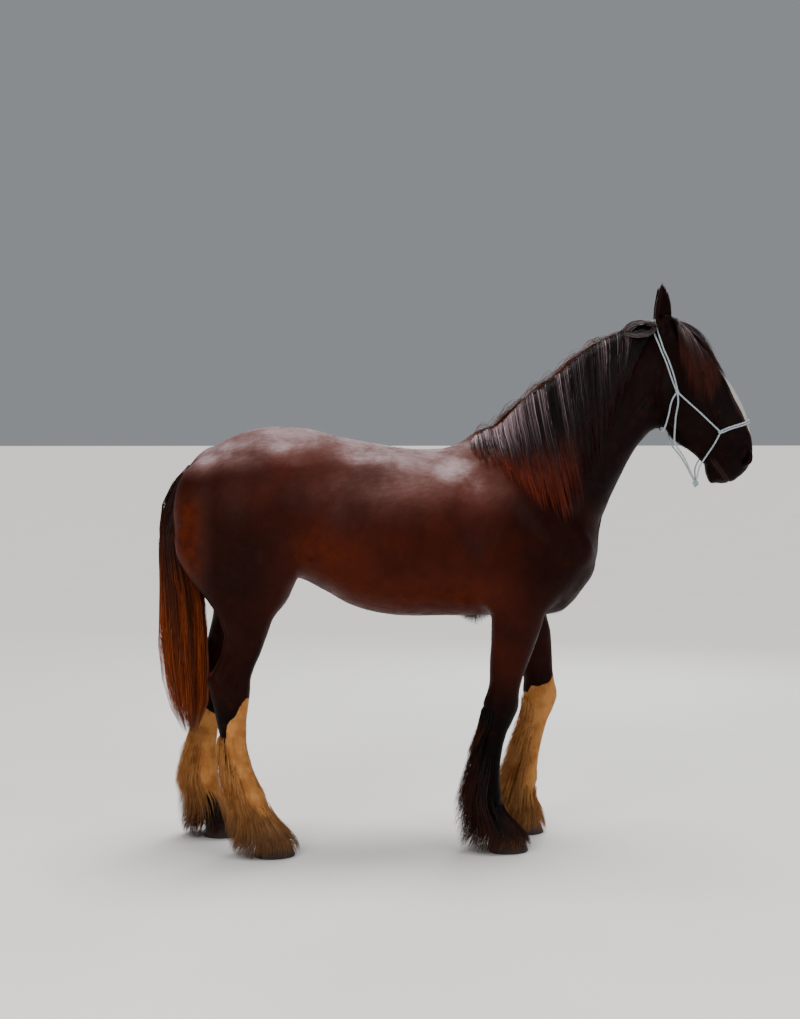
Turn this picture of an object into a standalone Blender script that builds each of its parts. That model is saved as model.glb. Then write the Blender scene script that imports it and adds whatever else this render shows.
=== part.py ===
"""A young Clydesdale horse standing in a rope halter: a still, life-size model in solids.

Units are metres.  +X points to the muzzle, +Y to the horse's left and +Z up.  The origin
is on the floor under the middle of the horse's box, so every hoof sole lies at z = 0.
The flesh is blocked out with lofts, capsules and balls, fused into one body and parted
with thin plane cuts.  Its surface is the tips of the coat, not the skin.
"""
import math

import bmesh
import bpy
import numpy as np
from mathutils import Matrix, Vector
from mathutils.bvhtree import BVHTree

# ---------------------------------------------------------------- driving dimensions
GAP = 0.0003                 # between two solids that meet
FEATHER_GAP = 0.0120         # between a feather and the limb inside it
HAIR_GAP = 0.0038            # between a hair solid and the flesh under it
MIDDLE = 0.017               # the tables' x at the middle of the horse's box
VOXEL = 0.012                # grain of the fused body
SMOOTH_PASSES = 7
SMOOTH_LOSS = 0.0016         # what the smoothing takes off a limb

# triangles that the whole body would have at the grain of each of its parts
HEAD_GRAIN = 7400
LIMB_GRAIN = 2200
TRUNK_GRAIN = 1700
MANE_TRIANGLES = 420
FORELOCK_TRIANGLES = 230

FORE_Y = 0.145               # fore hooves, off the middle plane
HIND_Y = 0.165
ELBOW_Z = 0.870              # top of the free fore limb
FLANK_Z = 0.985              # top of the free hind limb
KNEE_Z = 0.490               # under the knee
HOCK_Z = 0.545               # under the hock
FETLOCK_Z = 0.255            # over the fetlock
HOOF_TOP = 0.072

EYE_RADIUS = 0.021
EAR_LENGTH = 0.154
MANE_DEPTH = 0.026            # at the crest
MANE_TIP_SHARE = 0.40        # of that depth, at the hair's tips
FORELOCK_DEPTH = 0.020
ROPE_RADIUS = 0.0035
ROPE_LIFT = 0.0045           # air under a rope, over the faceted head
KNOT_RADIUS = 0.0105
KNOT_LIFT = 0.006            # how much further out a knot's middle lies than a rope's
FIADOR_RADIUS = 0.015
TWIN = 0.0078                # between the middles of the two ropes over the nose
CROWN_TWIN = 0.0110          # and of the two over the crown
STOP = 0.0145                # from a knot's middle to the end of a rope
FIADOR_STOP = 0.0220

# ---------------------------------------------------------------- body tables
# x, top, bottom, half width, height of the widest line, upper and lower roundness (2 = oval)
TRUNK = [
    (-1.050, 1.380, 1.220, 0.040, 1.30, 2.00, 2.0),
    (-1.020, 1.450, 1.120, 0.110, 1.30, 2.00, 2.0),
    (-0.980, 1.505, 1.060, 0.170, 1.30, 2.00, 2.0),
    (-0.920, 1.544, 1.030, 0.222, 1.29, 2.00, 2.0),
    (-0.864, 1.577, 1.020, 0.252, 1.28, 2.05, 2.0),
    (-0.787, 1.605, 1.020, 0.272, 1.27, 2.05, 2.0),
    (-0.691, 1.621, 1.035, 0.280, 1.25, 2.00, 2.0),
    (-0.610, 1.618, 1.030, 0.276, 1.23, 1.95, 2.0),
    (-0.500, 1.595, 0.980, 0.274, 1.20, 1.95, 2.0),
    (-0.402, 1.571, 0.926, 0.282, 1.18, 2.00, 2.05),
    (-0.306, 1.554, 0.897, 0.290, 1.17, 2.00, 2.1),
    (-0.210, 1.538, 0.883, 0.294, 1.16, 2.00, 2.1),
    (-0.133, 1.532, 0.881, 0.292, 1.15, 1.95, 2.1),
    (-0.056, 1.534, 0.882, 0.285, 1.15, 1.85, 2.1),
    (0.002, 1.547, 0.881, 0.275, 1.15, 1.70, 2.1),
    (0.060, 1.569, 0.880, 0.260, 1.14, 1.50, 2.1),
    (0.117, 1.590, 0.881, 0.245, 1.13, 1.38, 2.1),
    (0.175, 1.585, 0.880, 0.232, 1.12, 1.40, 2.1),
    (0.252, 1.550, 0.880, 0.225, 1.12, 1.50, 2.1),
    (0.330, 1.490, 0.880, 0.222, 1.12, 1.70, 2.1),
    (0.400, 1.430, 0.892, 0.212, 1.12, 1.90, 2.1),
    (0.466, 1.370, 0.942, 0.183, 1.14, 2.00, 2.1),
    (0.520, 1.300, 1.032, 0.120, 1.17, 2.00, 2.0),
    (0.556, 1.250, 1.105, 0.055, 1.18, 2.00, 2.0),
]
# The neck's axis rises at 45 degrees from its root; the same columns, along that axis.
NECK_ROOT = Vector((0.375, 0.0, 1.446))
NECK_AXIS = Vector((1.0, 0.0, 1.0)).normalized()
NECK_UP = Vector((-1.0, 0.0, 1.0)).normalized()
NECK = [
    (-0.120, 0.290, -0.300, 0.195, -0.10, 1.55, 2.1),
    (0.015, 0.272, -0.270, 0.172, -0.08, 1.50, 2.1),
    (0.100, 0.272, -0.237, 0.152, -0.05, 1.45, 2.1),
    (0.166, 0.264, -0.215, 0.138, -0.02, 1.45, 2.1),
    (0.239, 0.253, -0.191, 0.122, 0.00, 1.50, 2.1),
    (0.312, 0.245, -0.175, 0.112, 0.01, 1.60, 2.1),
    (0.370, 0.240, -0.170, 0.104, 0.015, 1.70, 2.0),
    (0.430, 0.230, -0.158, 0.098, 0.02, 1.80, 2.0),
    (0.497, 0.210, -0.112, 0.092, 0.04, 2.00, 2.0),
    (0.574, 0.180, -0.040, 0.080, 0.06, 2.00, 2.1),
    (0.639, 0.138, 0.010, 0.058, 0.07, 2.00, 2.1),
    (0.668, 0.100, 0.050, 0.025, 0.075, 2.00, 2.0),
]
# The head's axis runs from the poll down to the lips, its up side is the nose bridge.
POLL = Vector((0.806, 0.0, 1.994))
HEAD_AXIS = Vector((0.497, 0.0, -0.868)).normalized()
HEAD_UP = Vector((0.868, 0.0, 0.497)).normalized()
HEAD_SIDE = Vector((0.0, 1.0, 0.0))
HEAD = [
    (-0.030, 0.020, -0.050, 0.030, -0.010, 2.0, 2.0),
    (0.000, 0.045, -0.075, 0.060, 0.000, 2.2, 2.0),
    (0.040, 0.060, -0.100, 0.076, 0.000, 2.3, 2.0),
    (0.087, 0.072, -0.125, 0.086, 0.010, 2.4, 1.9),
    (0.162, 0.094, -0.145, 0.095, 0.020, 2.5, 1.9),
    (0.210, 0.103, -0.158, 0.098, 0.020, 2.5, 1.9),
    (0.248, 0.112, -0.168, 0.096, 0.020, 2.5, 1.9),
    (0.284, 0.121, -0.175, 0.090, 0.010, 2.4, 1.9),
    (0.335, 0.128, -0.181, 0.080, 0.005, 2.3, 1.9),
    (0.379, 0.130, -0.178, 0.070, 0.000, 2.2, 1.9),
    (0.422, 0.128, -0.163, 0.062, 0.000, 2.2, 2.0),
    (0.470, 0.121, -0.139, 0.056, -0.005, 2.2, 2.1),
    (0.507, 0.110, -0.126, 0.054, -0.010, 2.2, 2.2),
    (0.544, 0.098, -0.120, 0.056, -0.010, 2.2, 2.2),
    (0.580, 0.083, -0.126, 0.057, -0.020, 2.2, 2.2),
    (0.607, 0.066, -0.125, 0.053, -0.025, 2.2, 2.2),
    (0.626, 0.047, -0.112, 0.046, -0.030, 2.1, 2.1),
    (0.642, 0.021, -0.092, 0.035, -0.040, 2.0, 2.0),
    (0.652, -0.010, -0.065, 0.018, -0.045, 2.0, 2.0),
]
THROAT = (0.775, 0.0, 1.658)
THROAT_RADII = (0.052, 0.048, 0.046)
# A limb is a centre line (height, x) with a profile (height, front, back, half width).
FORE_PROFILE = [
    (0.030, 0.060, 0.057, 0.064), (0.085, 0.058, 0.057, 0.062), (0.115, 0.050, 0.054, 0.054),
    (0.150, 0.044, 0.051, 0.048), (0.185, 0.048, 0.057, 0.050), (0.215, 0.053, 0.063, 0.054),
    (0.250, 0.048, 0.058, 0.048), (0.300, 0.042, 0.053, 0.042), (0.380, 0.040, 0.051, 0.039),
    (0.450, 0.045, 0.052, 0.042), (0.500, 0.058, 0.063, 0.052), (0.550, 0.065, 0.071, 0.058),
    (0.600, 0.061, 0.067, 0.055), (0.650, 0.063, 0.066, 0.055), (0.720, 0.077, 0.077, 0.062),
    (0.800, 0.092, 0.086, 0.072), (0.880, 0.100, 0.100, 0.080),
]
HIND_PROFILE = [
    (0.030, 0.060, 0.057, 0.064), (0.085, 0.058, 0.057, 0.062), (0.115, 0.050, 0.054, 0.054),
    (0.150, 0.045, 0.053, 0.048), (0.190, 0.048, 0.058, 0.050), (0.235, 0.055, 0.065, 0.056),
    (0.280, 0.048, 0.058, 0.048), (0.340, 0.044, 0.054, 0.042), (0.440, 0.047, 0.056, 0.042),
    (0.500, 0.056, 0.060, 0.048), (0.560, 0.070, 0.066, 0.056), (0.620, 0.080, 0.078, 0.060),
    (0.660, 0.077, 0.088, 0.056), (0.700, 0.076, 0.082, 0.053), (0.760, 0.083, 0.070, 0.058),
    (0.830, 0.092, 0.074, 0.070), (0.900, 0.098, 0.086, 0.084), (0.980, 0.110, 0.110, 0.095),
]
FORE_FEATHER = [
    (0.032, 0.096, 0.186, 0.098), (0.055, 0.092, 0.192, 0.098), (0.100, 0.078, 0.180, 0.088),
    (0.150, 0.044, 0.156, 0.080), (0.220, 0.040, 0.126, 0.076), (0.300, 0.030, 0.106, 0.066),
    (0.400, 0.028, 0.094, 0.062), (0.465, 0.032, 0.082, 0.064),
]
HIND_FEATHER = [
    (0.032, 0.102, 0.166, 0.100), (0.055, 0.099, 0.174, 0.100), (0.100, 0.084, 0.166, 0.092),
    (0.160, 0.046, 0.142, 0.084), (0.235, 0.042, 0.116, 0.078), (0.300, 0.032, 0.098, 0.068),
    (0.400, 0.030, 0.082, 0.064), (0.470, 0.034, 0.078, 0.066),
]
# y of the limb, then its centre line as (height, x), hoof first
LIMBS = {
    "fore_right": (-FORE_Y, [(0.055, 0.187), (0.215, 0.117), (0.360, 0.130), (0.555, 0.168),
                             (0.740, 0.200), (0.880, 0.225)]),
    "fore_left": (FORE_Y, [(0.055, 0.289), (0.215, 0.297), (0.360, 0.326), (0.555, 0.360),
                           (0.740, 0.325), (0.880, 0.285)]),
    "hind_right": (-HIND_Y, [(0.055, -0.700), (0.140, -0.737), (0.235, -0.783), (0.440, -0.842),
                             (0.620, -0.860), (0.760, -0.825), (0.900, -0.790), (0.980, -0.760)]),
    "hind_left": (HIND_Y, [(0.055, -0.905), (0.140, -0.935), (0.235, -0.972), (0.440, -0.962),
                           (0.600, -0.945), (0.760, -0.900), (0.900, -0.850), (0.980, -0.810)]),
}
HOOF = [(0.000, 0.086, 0.074, 0.079), (0.036, 0.072, 0.067, 0.071), (HOOF_TOP, 0.058, 0.060, 0.064)]
# height, front x, back x, half width, from the tips of the hair up to the dock
TAIL = [
    (0.420, -1.005, -1.035, 0.015), (0.465, -0.972, -1.072, 0.042), (0.510, -0.955, -1.092, 0.055),
    (0.570, -0.945, -1.112, 0.066), (0.650, -0.944, -1.126, 0.075), (0.800, -0.947, -1.136, 0.083),
    (0.950, -0.957, -1.134, 0.080), (1.100, -1.005, -1.134, 0.070), (1.200, -1.020, -1.133, 0.060),
    (1.310, -1.015, -1.122, 0.052), (1.400, -0.998, -1.094, 0.045), (1.440, -0.985, -1.070, 0.038),
    (1.470, -0.972, -1.044, 0.030), (1.500, -0.965, -1.005, 0.015),
]
# outlines in the x, z plane
MANE_OUTLINE = [
    (0.020, 1.600), (0.030, 1.500), (0.060, 1.450), (0.140, 1.378), (0.246, 1.330), (0.311, 1.278),
    (0.411, 1.236), (0.464, 1.290), (0.509, 1.400), (0.545, 1.520), (0.585, 1.630), (0.625, 1.715),
    (0.650, 1.826), (0.690, 1.900), (0.745, 1.940), (0.762, 2.100), (0.500, 2.100), (0.200, 1.850),
]
FORELOCK_OUTLINE = [
    (0.840, 2.100), (0.840, 1.965), (0.855, 1.930), (0.872, 1.870), (0.888, 1.790), (0.925, 1.715),
    (0.970, 1.668), (1.000, 1.700), (1.050, 1.800), (1.000, 2.000), (0.900, 2.100),
]
FAR_SIDE_MANE = 0.028        # how far the mane's roots reach over the crest to the left
FORELOCK_SPAN = (-0.150, 0.060)
# an ear's base in the head's places, its axis, and the way its hollow faces
EARS = {
    "right": ((-0.010, 0.004, -0.052), (-0.065, -0.20, 1.0), (0.60, -0.80, -0.05)),
    "left": ((0.004, 0.018, 0.052), (-0.060, 0.13, 1.0), (0.85, 0.50, -0.05)),
}

# kind: colour, roughness
FINISHES = {
    "bay": ((0.060, 0.022, 0.014), 0.45),
    "dark_leg": ((0.018, 0.012, 0.010), 0.55),
    "white_leg": ((0.62, 0.52, 0.40), 0.70),
    "mane": ((0.014, 0.010, 0.010), 0.50),
    "tail": ((0.050, 0.018, 0.010), 0.55),
    "horn": ((0.060, 0.048, 0.040), 0.55),
    "eye": ((0.006, 0.004, 0.003), 0.08),
    "rope": ((0.42, 0.47, 0.50), 0.80),
}
WHITE_LIMBS = ("fore_left", "hind_right", "hind_left")


# ---------------------------------------------------------------- scene tools
def clear_scene():
    for old in list(bpy.data.objects):
        bpy.data.objects.remove(old, do_unlink=True)


def new_collection(name):
    made = bpy.data.collections.new(name)
    bpy.context.scene.collection.children.link(made)
    return made


def finish_of(name, kind):
    colour, roughness = FINISHES[kind]
    material = bpy.data.materials.new(name)
    material.use_nodes = True
    shader = material.node_tree.nodes["Principled BSDF"]
    shader.inputs["Base Color"].default_value = (*colour, 1.0)
    shader.inputs["Roughness"].default_value = roughness
    shader.inputs["Metallic"].default_value = 0.0
    return material


def object_from(name, mesh, collection):
    made = bpy.data.objects.new(name, mesh)
    collection.objects.link(made)
    return made


def add_part(name, mesh, kind):
    """Makes one named sub-part with its own finish, carried by the horse's empty."""
    mesh.materials.clear()
    mesh.materials.append(finish_of(name, kind))
    mesh.shade_smooth()
    mesh.set_sharp_from_angle(angle=math.radians(40.0))
    made = object_from(name, mesh, PARTS)
    made.parent = HORSE
    return made


def add_cutter(name, mesh):
    made = object_from(name, mesh, CUTTERS)
    made.hide_render = True
    made.display_type = "WIRE"
    return made


def evaluated_mesh(thing):
    graph = bpy.context.evaluated_depsgraph_get()
    return bpy.data.meshes.new_from_object(thing.evaluated_get(graph), depsgraph=graph)


def largest_body(mesh):
    """Keeps the largest closed body of a mesh and welds what lies closer than a hair."""
    work = bmesh.new()
    work.from_mesh(mesh)
    bmesh.ops.remove_doubles(work, verts=work.verts, dist=0.00001)
    bmesh.ops.dissolve_degenerate(work, edges=work.edges, dist=0.00001)
    bodies = islands(work)
    bodies.sort(key=len)
    for body in bodies[:-1]:
        bmesh.ops.delete(work, geom=body, context="VERTS")
    bmesh.ops.triangulate(work, faces=work.faces)
    work.to_mesh(mesh)
    work.free()
    return mesh


def islands(work):
    """Groups a mesh's vertices into its separate bodies."""
    left = set(work.verts)
    found = []
    while left:
        edge_of_body = [left.pop()]
        body = list(edge_of_body)
        while edge_of_body:
            vertex = edge_of_body.pop()
            for edge in vertex.link_edges:
                other = edge.other_vert(vertex)
                if other in left:
                    left.remove(other)
                    edge_of_body.append(other)
                    body.append(other)
        found.append(body)
    return found


def with_modifiers(mesh, *settings):
    """Returns the mesh after a stack of modifiers, each given as (type, {setting: value})."""
    holder = object_from("holder", mesh, CUTTERS)
    for kind, values in settings:
        modifier = holder.modifiers.new(kind.lower(), kind)
        for key, value in values.items():
            setattr(modifier, key, value)
    result = evaluated_mesh(holder)
    bpy.data.objects.remove(holder)
    return result


def boolean(operation, cutter):
    return ("BOOLEAN", {"operation": operation, "object": cutter, "solver": "EXACT"})


def displace(distance):
    return ("DISPLACE", {"strength": distance, "mid_level": 0.0})


def grown(name, mesh, distance):
    """A cutter that is a copy of a mesh, moved outwards along its normals."""
    return add_cutter(name, with_modifiers(mesh.copy(), displace(distance)))


# ---------------------------------------------------------------- shapes
def smooth_values(places, values, at):
    """Monotone cubic through (place, value) pairs, so that an outline never overshoots."""
    places = np.asarray(places, float)
    values = np.asarray(values, float)
    step = np.diff(places)
    slope = np.diff(values) / step
    tangent = np.empty_like(values)
    tangent[0], tangent[-1] = slope[0], slope[-1]
    for i in range(1, len(values) - 1):
        before, after = slope[i - 1], slope[i]
        if before * after <= 0.0:
            tangent[i] = 0.0
            continue
        first = 2.0 * step[i] + step[i - 1]
        second = step[i] + 2.0 * step[i - 1]
        tangent[i] = (first + second) / (first / before + second / after)
    i = np.clip(np.searchsorted(places, at) - 1, 0, len(step) - 1)
    t = np.clip((at - places[i]) / step[i], 0.0, 1.0)
    start = (1 + 2 * t) * (1 - t) ** 2 * values[i] + t * (1 - t) ** 2 * step[i] * tangent[i]
    end = t * t * (3 - 2 * t) * values[i + 1] + t * t * (t - 1) * step[i] * tangent[i + 1]
    return start + end


def section(top, bottom, half, middle, upper, lower, sides):
    """Points (up, side) of one rounded section; its roundness differs above and below."""
    points = []
    for k in range(sides):
        angle = 2.0 * math.pi * k / sides
        across, along = math.cos(angle), math.sin(angle)
        power = 2.0 / (upper if along > 0.0 else lower)
        height = (top - middle) if along > 0.0 else (middle - bottom)
        up = middle + height * math.copysign(abs(along) ** power, along)
        side = half * math.copysign(abs(across) ** power, across)
        points.append((up, side))
    return points


def skin_rings(work, rings):
    """Joins equal rings of vertices into a closed body with flat ends."""
    for lower, upper in zip(rings, rings[1:]):
        count = len(lower)
        for k in range(count):
            after = (k + 1) % count
            work.faces.new((lower[k], lower[after], upper[after], upper[k]))
    work.faces.new(list(reversed(rings[0])))
    work.faces.new(rings[-1])
    bmesh.ops.recalc_face_normals(work, faces=work.faces)


def loft(stations, origin, axis, up, spacing=0.025, sides=28):
    """A mesh through sections placed along an axis; a station is a row of the tables."""
    table = np.array(stations)
    count = max(2, round((table[-1, 0] - table[0, 0]) / spacing) + 1)
    at = np.linspace(table[0, 0], table[-1, 0], count)
    columns = [smooth_values(table[:, 0], table[:, c], at) for c in range(1, 7)]
    across = axis.cross(up)
    work = bmesh.new()
    rings = []
    for place, *values in zip(at, *columns):
        centre = origin + axis * place
        points = section(*values, sides)
        rings.append([work.verts.new(centre + up * u + across * s) for u, s in points])
    skin_rings(work, rings)
    return mesh_from(work)


def mesh_from(work):
    mesh = bpy.data.meshes.new("shape")
    work.to_mesh(mesh)
    work.free()
    return mesh


def limb_stations(line, profile):
    """Puts a limb's profile on its centre line, as loft stations up the Z axis."""
    line = np.array(line)
    stations = []
    for z, front, back, half in profile:
        x = float(smooth_values(line[:, 0], line[:, 1], np.array([z]))[0])
        stations.append((z, x + front, x - back, half, x + (front - back) / 2, 2.2, 2.2))
    return stations


def upright_loft(y, stations, spacing=0.025, sides=28):
    return loft(stations, Vector((0.0, y, 0.0)), Vector((0, 0, 1)), Vector((1, 0, 0)), spacing, sides)


def ball(centre, radii, axes=None, segments=24):
    """An oval ball; axes gives the directions of its three radii."""
    turn = Matrix.Identity(3)
    if axes:
        turn = Matrix([Vector(axis).normalized() for axis in axes]).transposed()
    work = bmesh.new()
    place = Matrix.Translation(Vector(centre)) @ turn.to_4x4() @ Matrix.Diagonal((*radii, 1.0))
    bmesh.ops.create_uvsphere(work, u_segments=segments, v_segments=segments // 2, radius=1.0,
                              matrix=place)
    return mesh_from(work)


def capsule(start, end, start_radius, end_radius):
    """The hull of two balls."""
    work = bmesh.new()
    for centre, radius in ((start, start_radius), (end, end_radius)):
        bmesh.ops.create_uvsphere(work, u_segments=20, v_segments=10, radius=radius,
                                  matrix=Matrix.Translation(Vector(centre)))
    hull = bmesh.ops.convex_hull(work, input=work.verts)
    inside = [thing for thing in hull["geom_interior"] if isinstance(thing, bmesh.types.BMVert)]
    bmesh.ops.delete(work, geom=inside, context="VERTS")
    bmesh.ops.recalc_face_normals(work, faces=work.faces)
    return mesh_from(work)


def head_point(along, up, side):
    return POLL + HEAD_AXIS * along + HEAD_UP * up + HEAD_SIDE * side


# ---------------------------------------------------------------- flesh
def muscles(side):
    """Muscle masses of one side: side is -1 on the right and +1 on the left."""
    back = 0.0 if side < 0 else -0.035      # the left hind limb stands further back
    fore = 0.0 if side < 0 else 0.035       # the left fore limb stands further forward
    lean = ((1, 0, 0.25), (0, 1, 0), (-0.25, 0, 1))
    slope = ((1, 0, 0.35), (0, 1, 0), (-0.35, 0, 1))
    head_axes = (HEAD_AXIS, HEAD_UP, HEAD_SIDE)
    thigh = ball((-0.80 + back, side * 0.150, 1.20), (0.205, 0.128, 0.30), lean)
    buttock = ball((-0.955, side * 0.115, 1.29), (0.118, 0.115, 0.20))
    hamstring = capsule((-0.965 + back * 0.3, side * 0.135, 1.16),
                        (-0.843 + back * 0.6, side * 0.165, 0.90), 0.100, 0.056)
    stifle = capsule((-0.715 + back, side * 0.185, 1.10), (-0.79 + back, side * 0.175, 0.88),
                     0.098, 0.058)
    blade = capsule((0.14, side * 0.095, 1.44), (0.40 + fore / 2, side * 0.150, 1.17), 0.060, 0.082)
    triceps = ball((0.22 + fore / 2, side * 0.165, 1.06), (0.17, 0.075, 0.155), slope)
    upper_arm = capsule((0.435 + fore / 2, side * 0.15, 1.14), (0.235 + fore, side * 0.150, 0.91),
                        0.085, 0.075)
    breast = ball((0.435, side * 0.085, 1.105), (0.105, 0.10, 0.125))
    cheek = ball(head_point(0.285, -0.075, side * 0.050), (0.125, 0.095, 0.036), head_axes)
    brow = ball(head_point(0.200, 0.062, side * 0.078), (0.050, 0.030, 0.026), head_axes)
    crest = capsule(head_point(0.290, 0.008, side * 0.076), head_point(0.410, -0.002, side * 0.058),
                    0.014, 0.010)
    nostril = ball(head_point(0.588, 0.029, side * 0.036), (0.040, 0.034, 0.024), head_axes)
    return [thigh, buttock, hamstring, stifle, blade, triceps, upper_arm, breast, cheek, brow,
            crest, nostril]


def fused_body():
    """All masses as one mesh, before it is parted into pieces."""
    blocks = [
        loft(TRUNK, Vector(), Vector((1, 0, 0)), Vector((0, 0, 1)), sides=48),
        loft(NECK, NECK_ROOT, NECK_AXIS, NECK_UP, sides=40),
        loft(HEAD, POLL, HEAD_AXIS, HEAD_UP, spacing=0.015, sides=40),
    ]
    for name, (y, line) in LIMBS.items():
        profile = FORE_PROFILE if name.startswith("fore") else HIND_PROFILE
        blocks.append(upright_loft(y, limb_stations(line, profile)))
    blocks += muscles(-1) + muscles(1)
    blocks.append(ball(THROAT, THROAT_RADII))
    work = bmesh.new()
    for block in blocks:
        work.from_mesh(block)
        bpy.data.meshes.remove(block)
    return with_modifiers(
        mesh_from(work),
        ("REMESH", {"mode": "VOXEL", "voxel_size": VOXEL}),
        ("SMOOTH", {"factor": 0.5, "iterations": SMOOTH_PASSES}),
        displace(SMOOTH_LOSS),
    )


def thinned(mesh, triangles):
    """The same surface with about this many triangles."""
    mesh.calc_loop_triangles()
    ratio = triangles / len(mesh.loop_triangles)
    return with_modifiers(mesh.copy(), ("DECIMATE", {"ratio": ratio}))


def parted(mesh, cuts, near):
    """Cuts a mesh with planes (point, normal; the normal points to what is cut away), and
    keeps the body whose middle is nearest to a point."""
    work = bmesh.new()
    work.from_mesh(mesh)
    for point, normal in cuts:
        geometry = work.verts[:] + work.edges[:] + work.faces[:]
        bmesh.ops.bisect_plane(work, geom=geometry, dist=0.000001, plane_co=point,
                               plane_no=normal, clear_outer=True)
        rim = [edge for edge in work.edges if edge.is_boundary]
        bmesh.ops.holes_fill(work, edges=rim, sides=0)
    target = Vector(near)
    bodies = islands(work)
    bodies.sort(key=lambda body: (middle_of(body) - target).length)
    for body in bodies[1:]:
        bmesh.ops.delete(work, geom=body, context="VERTS")
    bmesh.ops.recalc_face_normals(work, faces=work.faces)
    return largest_body(mesh_from(work))


def middle_of(vertices):
    return sum((vertex.co for vertex in vertices), Vector()) / len(vertices)


def above(z):
    return (Vector((0, 0, z)), Vector((0, 0, -1)))


def below(z):
    return (Vector((0, 0, z)), Vector((0, 0, 1)))


def facing(cut):
    """The other side of a cut, a gap away."""
    point, normal = cut
    normal = normal.normalized()
    return (point - normal * -GAP, -normal)


def throat_cut():
    """Keeps the neck: from behind the poll down to the throat."""
    top, bottom = Vector((0.738, 0.0, 2.02)), Vector((0.772, 0.0, 1.60))
    along = bottom - top
    return (top, Vector((-along.z, 0.0, along.x)))


def shoulder_cut():
    """Keeps the trunk: from the front of the withers down to the breast."""
    top, bottom = Vector((0.175, 0.0, 1.62)), Vector((0.555, 0.0, 1.235))
    along = bottom - top
    return (top, Vector((-along.z, 0.0, along.x)))


def mouth_cut():
    """Keeps the upper head: along the mouth line and on through the cheek."""
    return (head_point(0.0, -0.081, 0.0), -HEAD_UP)


def box(name, low, high):
    work = bmesh.new()
    size = Vector(high) - Vector(low)
    centre = (Vector(high) + Vector(low)) / 2
    bmesh.ops.create_cube(work, size=1.0, matrix=Matrix.LocRotScale(centre, None, size))
    return add_cutter(name, mesh_from(work))


def make_head(fine, sockets):
    skull = parted(fine, [facing(throat_cut()), mouth_cut()], head_point(0.3, 0.0, 0.0))
    cuts = [boolean("DIFFERENCE", socket) for socket in sockets]
    for side in (-1, 1):
        centre = head_point(0.594, 0.031, side * 0.052)
        axes = ((HEAD_AXIS + HEAD_UP * 0.5), (HEAD_UP - HEAD_AXIS * 0.5), HEAD_SIDE)
        hollow = add_cutter(f"nostril_hollow_{side}", ball(centre, (0.009, 0.020, 0.016), axes, 12))
        cuts.append(boolean("DIFFERENCE", hollow))
    skull = with_modifiers(skull, *cuts)
    add_part("head", largest_body(skull), "bay")
    jaw = parted(fine, [facing(throat_cut()), facing(mouth_cut())], head_point(0.35, -0.13, 0.0))
    add_part("lower_jaw", jaw, "bay")


def make_neck_and_trunk(coarse):
    neck = parted(coarse, [throat_cut(), facing(shoulder_cut())], (0.5, 0.0, 1.65))
    add_part("neck", neck, "bay")
    trunk = parted(coarse, [shoulder_cut(), above(ELBOW_Z)], (-0.2, 0.0, 1.2))
    hind_limbs = box("hind_limb_room", (-1.3, -0.6, 0.5), (-0.53, 0.6, FLANK_Z + GAP))
    trunk = with_modifiers(trunk, boolean("DIFFERENCE", hind_limbs))
    add_part("trunk", largest_body(trunk), "bay")


def make_limbs(medium):
    for name, (y, line) in LIMBS.items():
        fore = name.startswith("fore")
        top = ELBOW_Z if fore else FLANK_Z
        joint = KNEE_Z if fore else HOCK_Z
        lengths = {
            "upper": (joint, top - GAP, "bay"),
            "cannon": (FETLOCK_Z, joint - GAP, "dark_leg"),
            "pastern": (HOOF_TOP + GAP, FETLOCK_Z - GAP, "dark_leg"),
        }
        xs = np.array(line)
        for length, (low, high, kind) in lengths.items():
            middle = (low + high) / 2
            x = float(np.interp(middle, xs[:, 0], xs[:, 1]))
            if kind == "dark_leg" and name in WHITE_LIMBS:
                kind = "white_leg"
            piece = parted(medium, [below(high), above(low)], (x, y, middle))
            add_part(f"{name}_{length}", piece, kind)


def make_hooves():
    for name, (y, line) in LIMBS.items():
        ground_x = line[0][1]
        stations = [(z, ground_x + front, ground_x - back, half, ground_x, 2.1, 2.4)
                    for z, front, back, half in HOOF]
        add_part(f"{name}_hoof", largest_body(upright_loft(y, stations, 0.036, 16)), "horn")


def eye_centre(side):
    return head_point(0.226, 0.038, side * 0.083)


def make_eyes():
    """The eyeballs, and the cutters that hollow their sockets."""
    sockets = []
    for name, side in (("right", -1), ("left", 1)):
        centre = eye_centre(side)
        add_part(f"eye_{name}", largest_body(ball(centre, (EYE_RADIUS,) * 3, segments=12)), "eye")
        socket = ball(centre, (EYE_RADIUS + GAP * 2,) * 3, segments=12)
        sockets.append(add_cutter(f"socket_{name}", socket))
    return sockets


def ear_ring(half, depth, wall, rim):
    """One section of an ear, (across, forward): a rounded back and a hollow front."""
    steps = 5
    back = [(half * math.cos(math.pi * k / steps), -depth * math.sin(math.pi * k / steps))
            for k in range(steps + 1)]
    front = [(half * 0.94 * math.cos(math.pi * k / steps),
              rim - (depth - wall + rim) * math.sin(math.pi * k / steps))
             for k in range(steps, -1, -1)]
    return back + front


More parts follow.
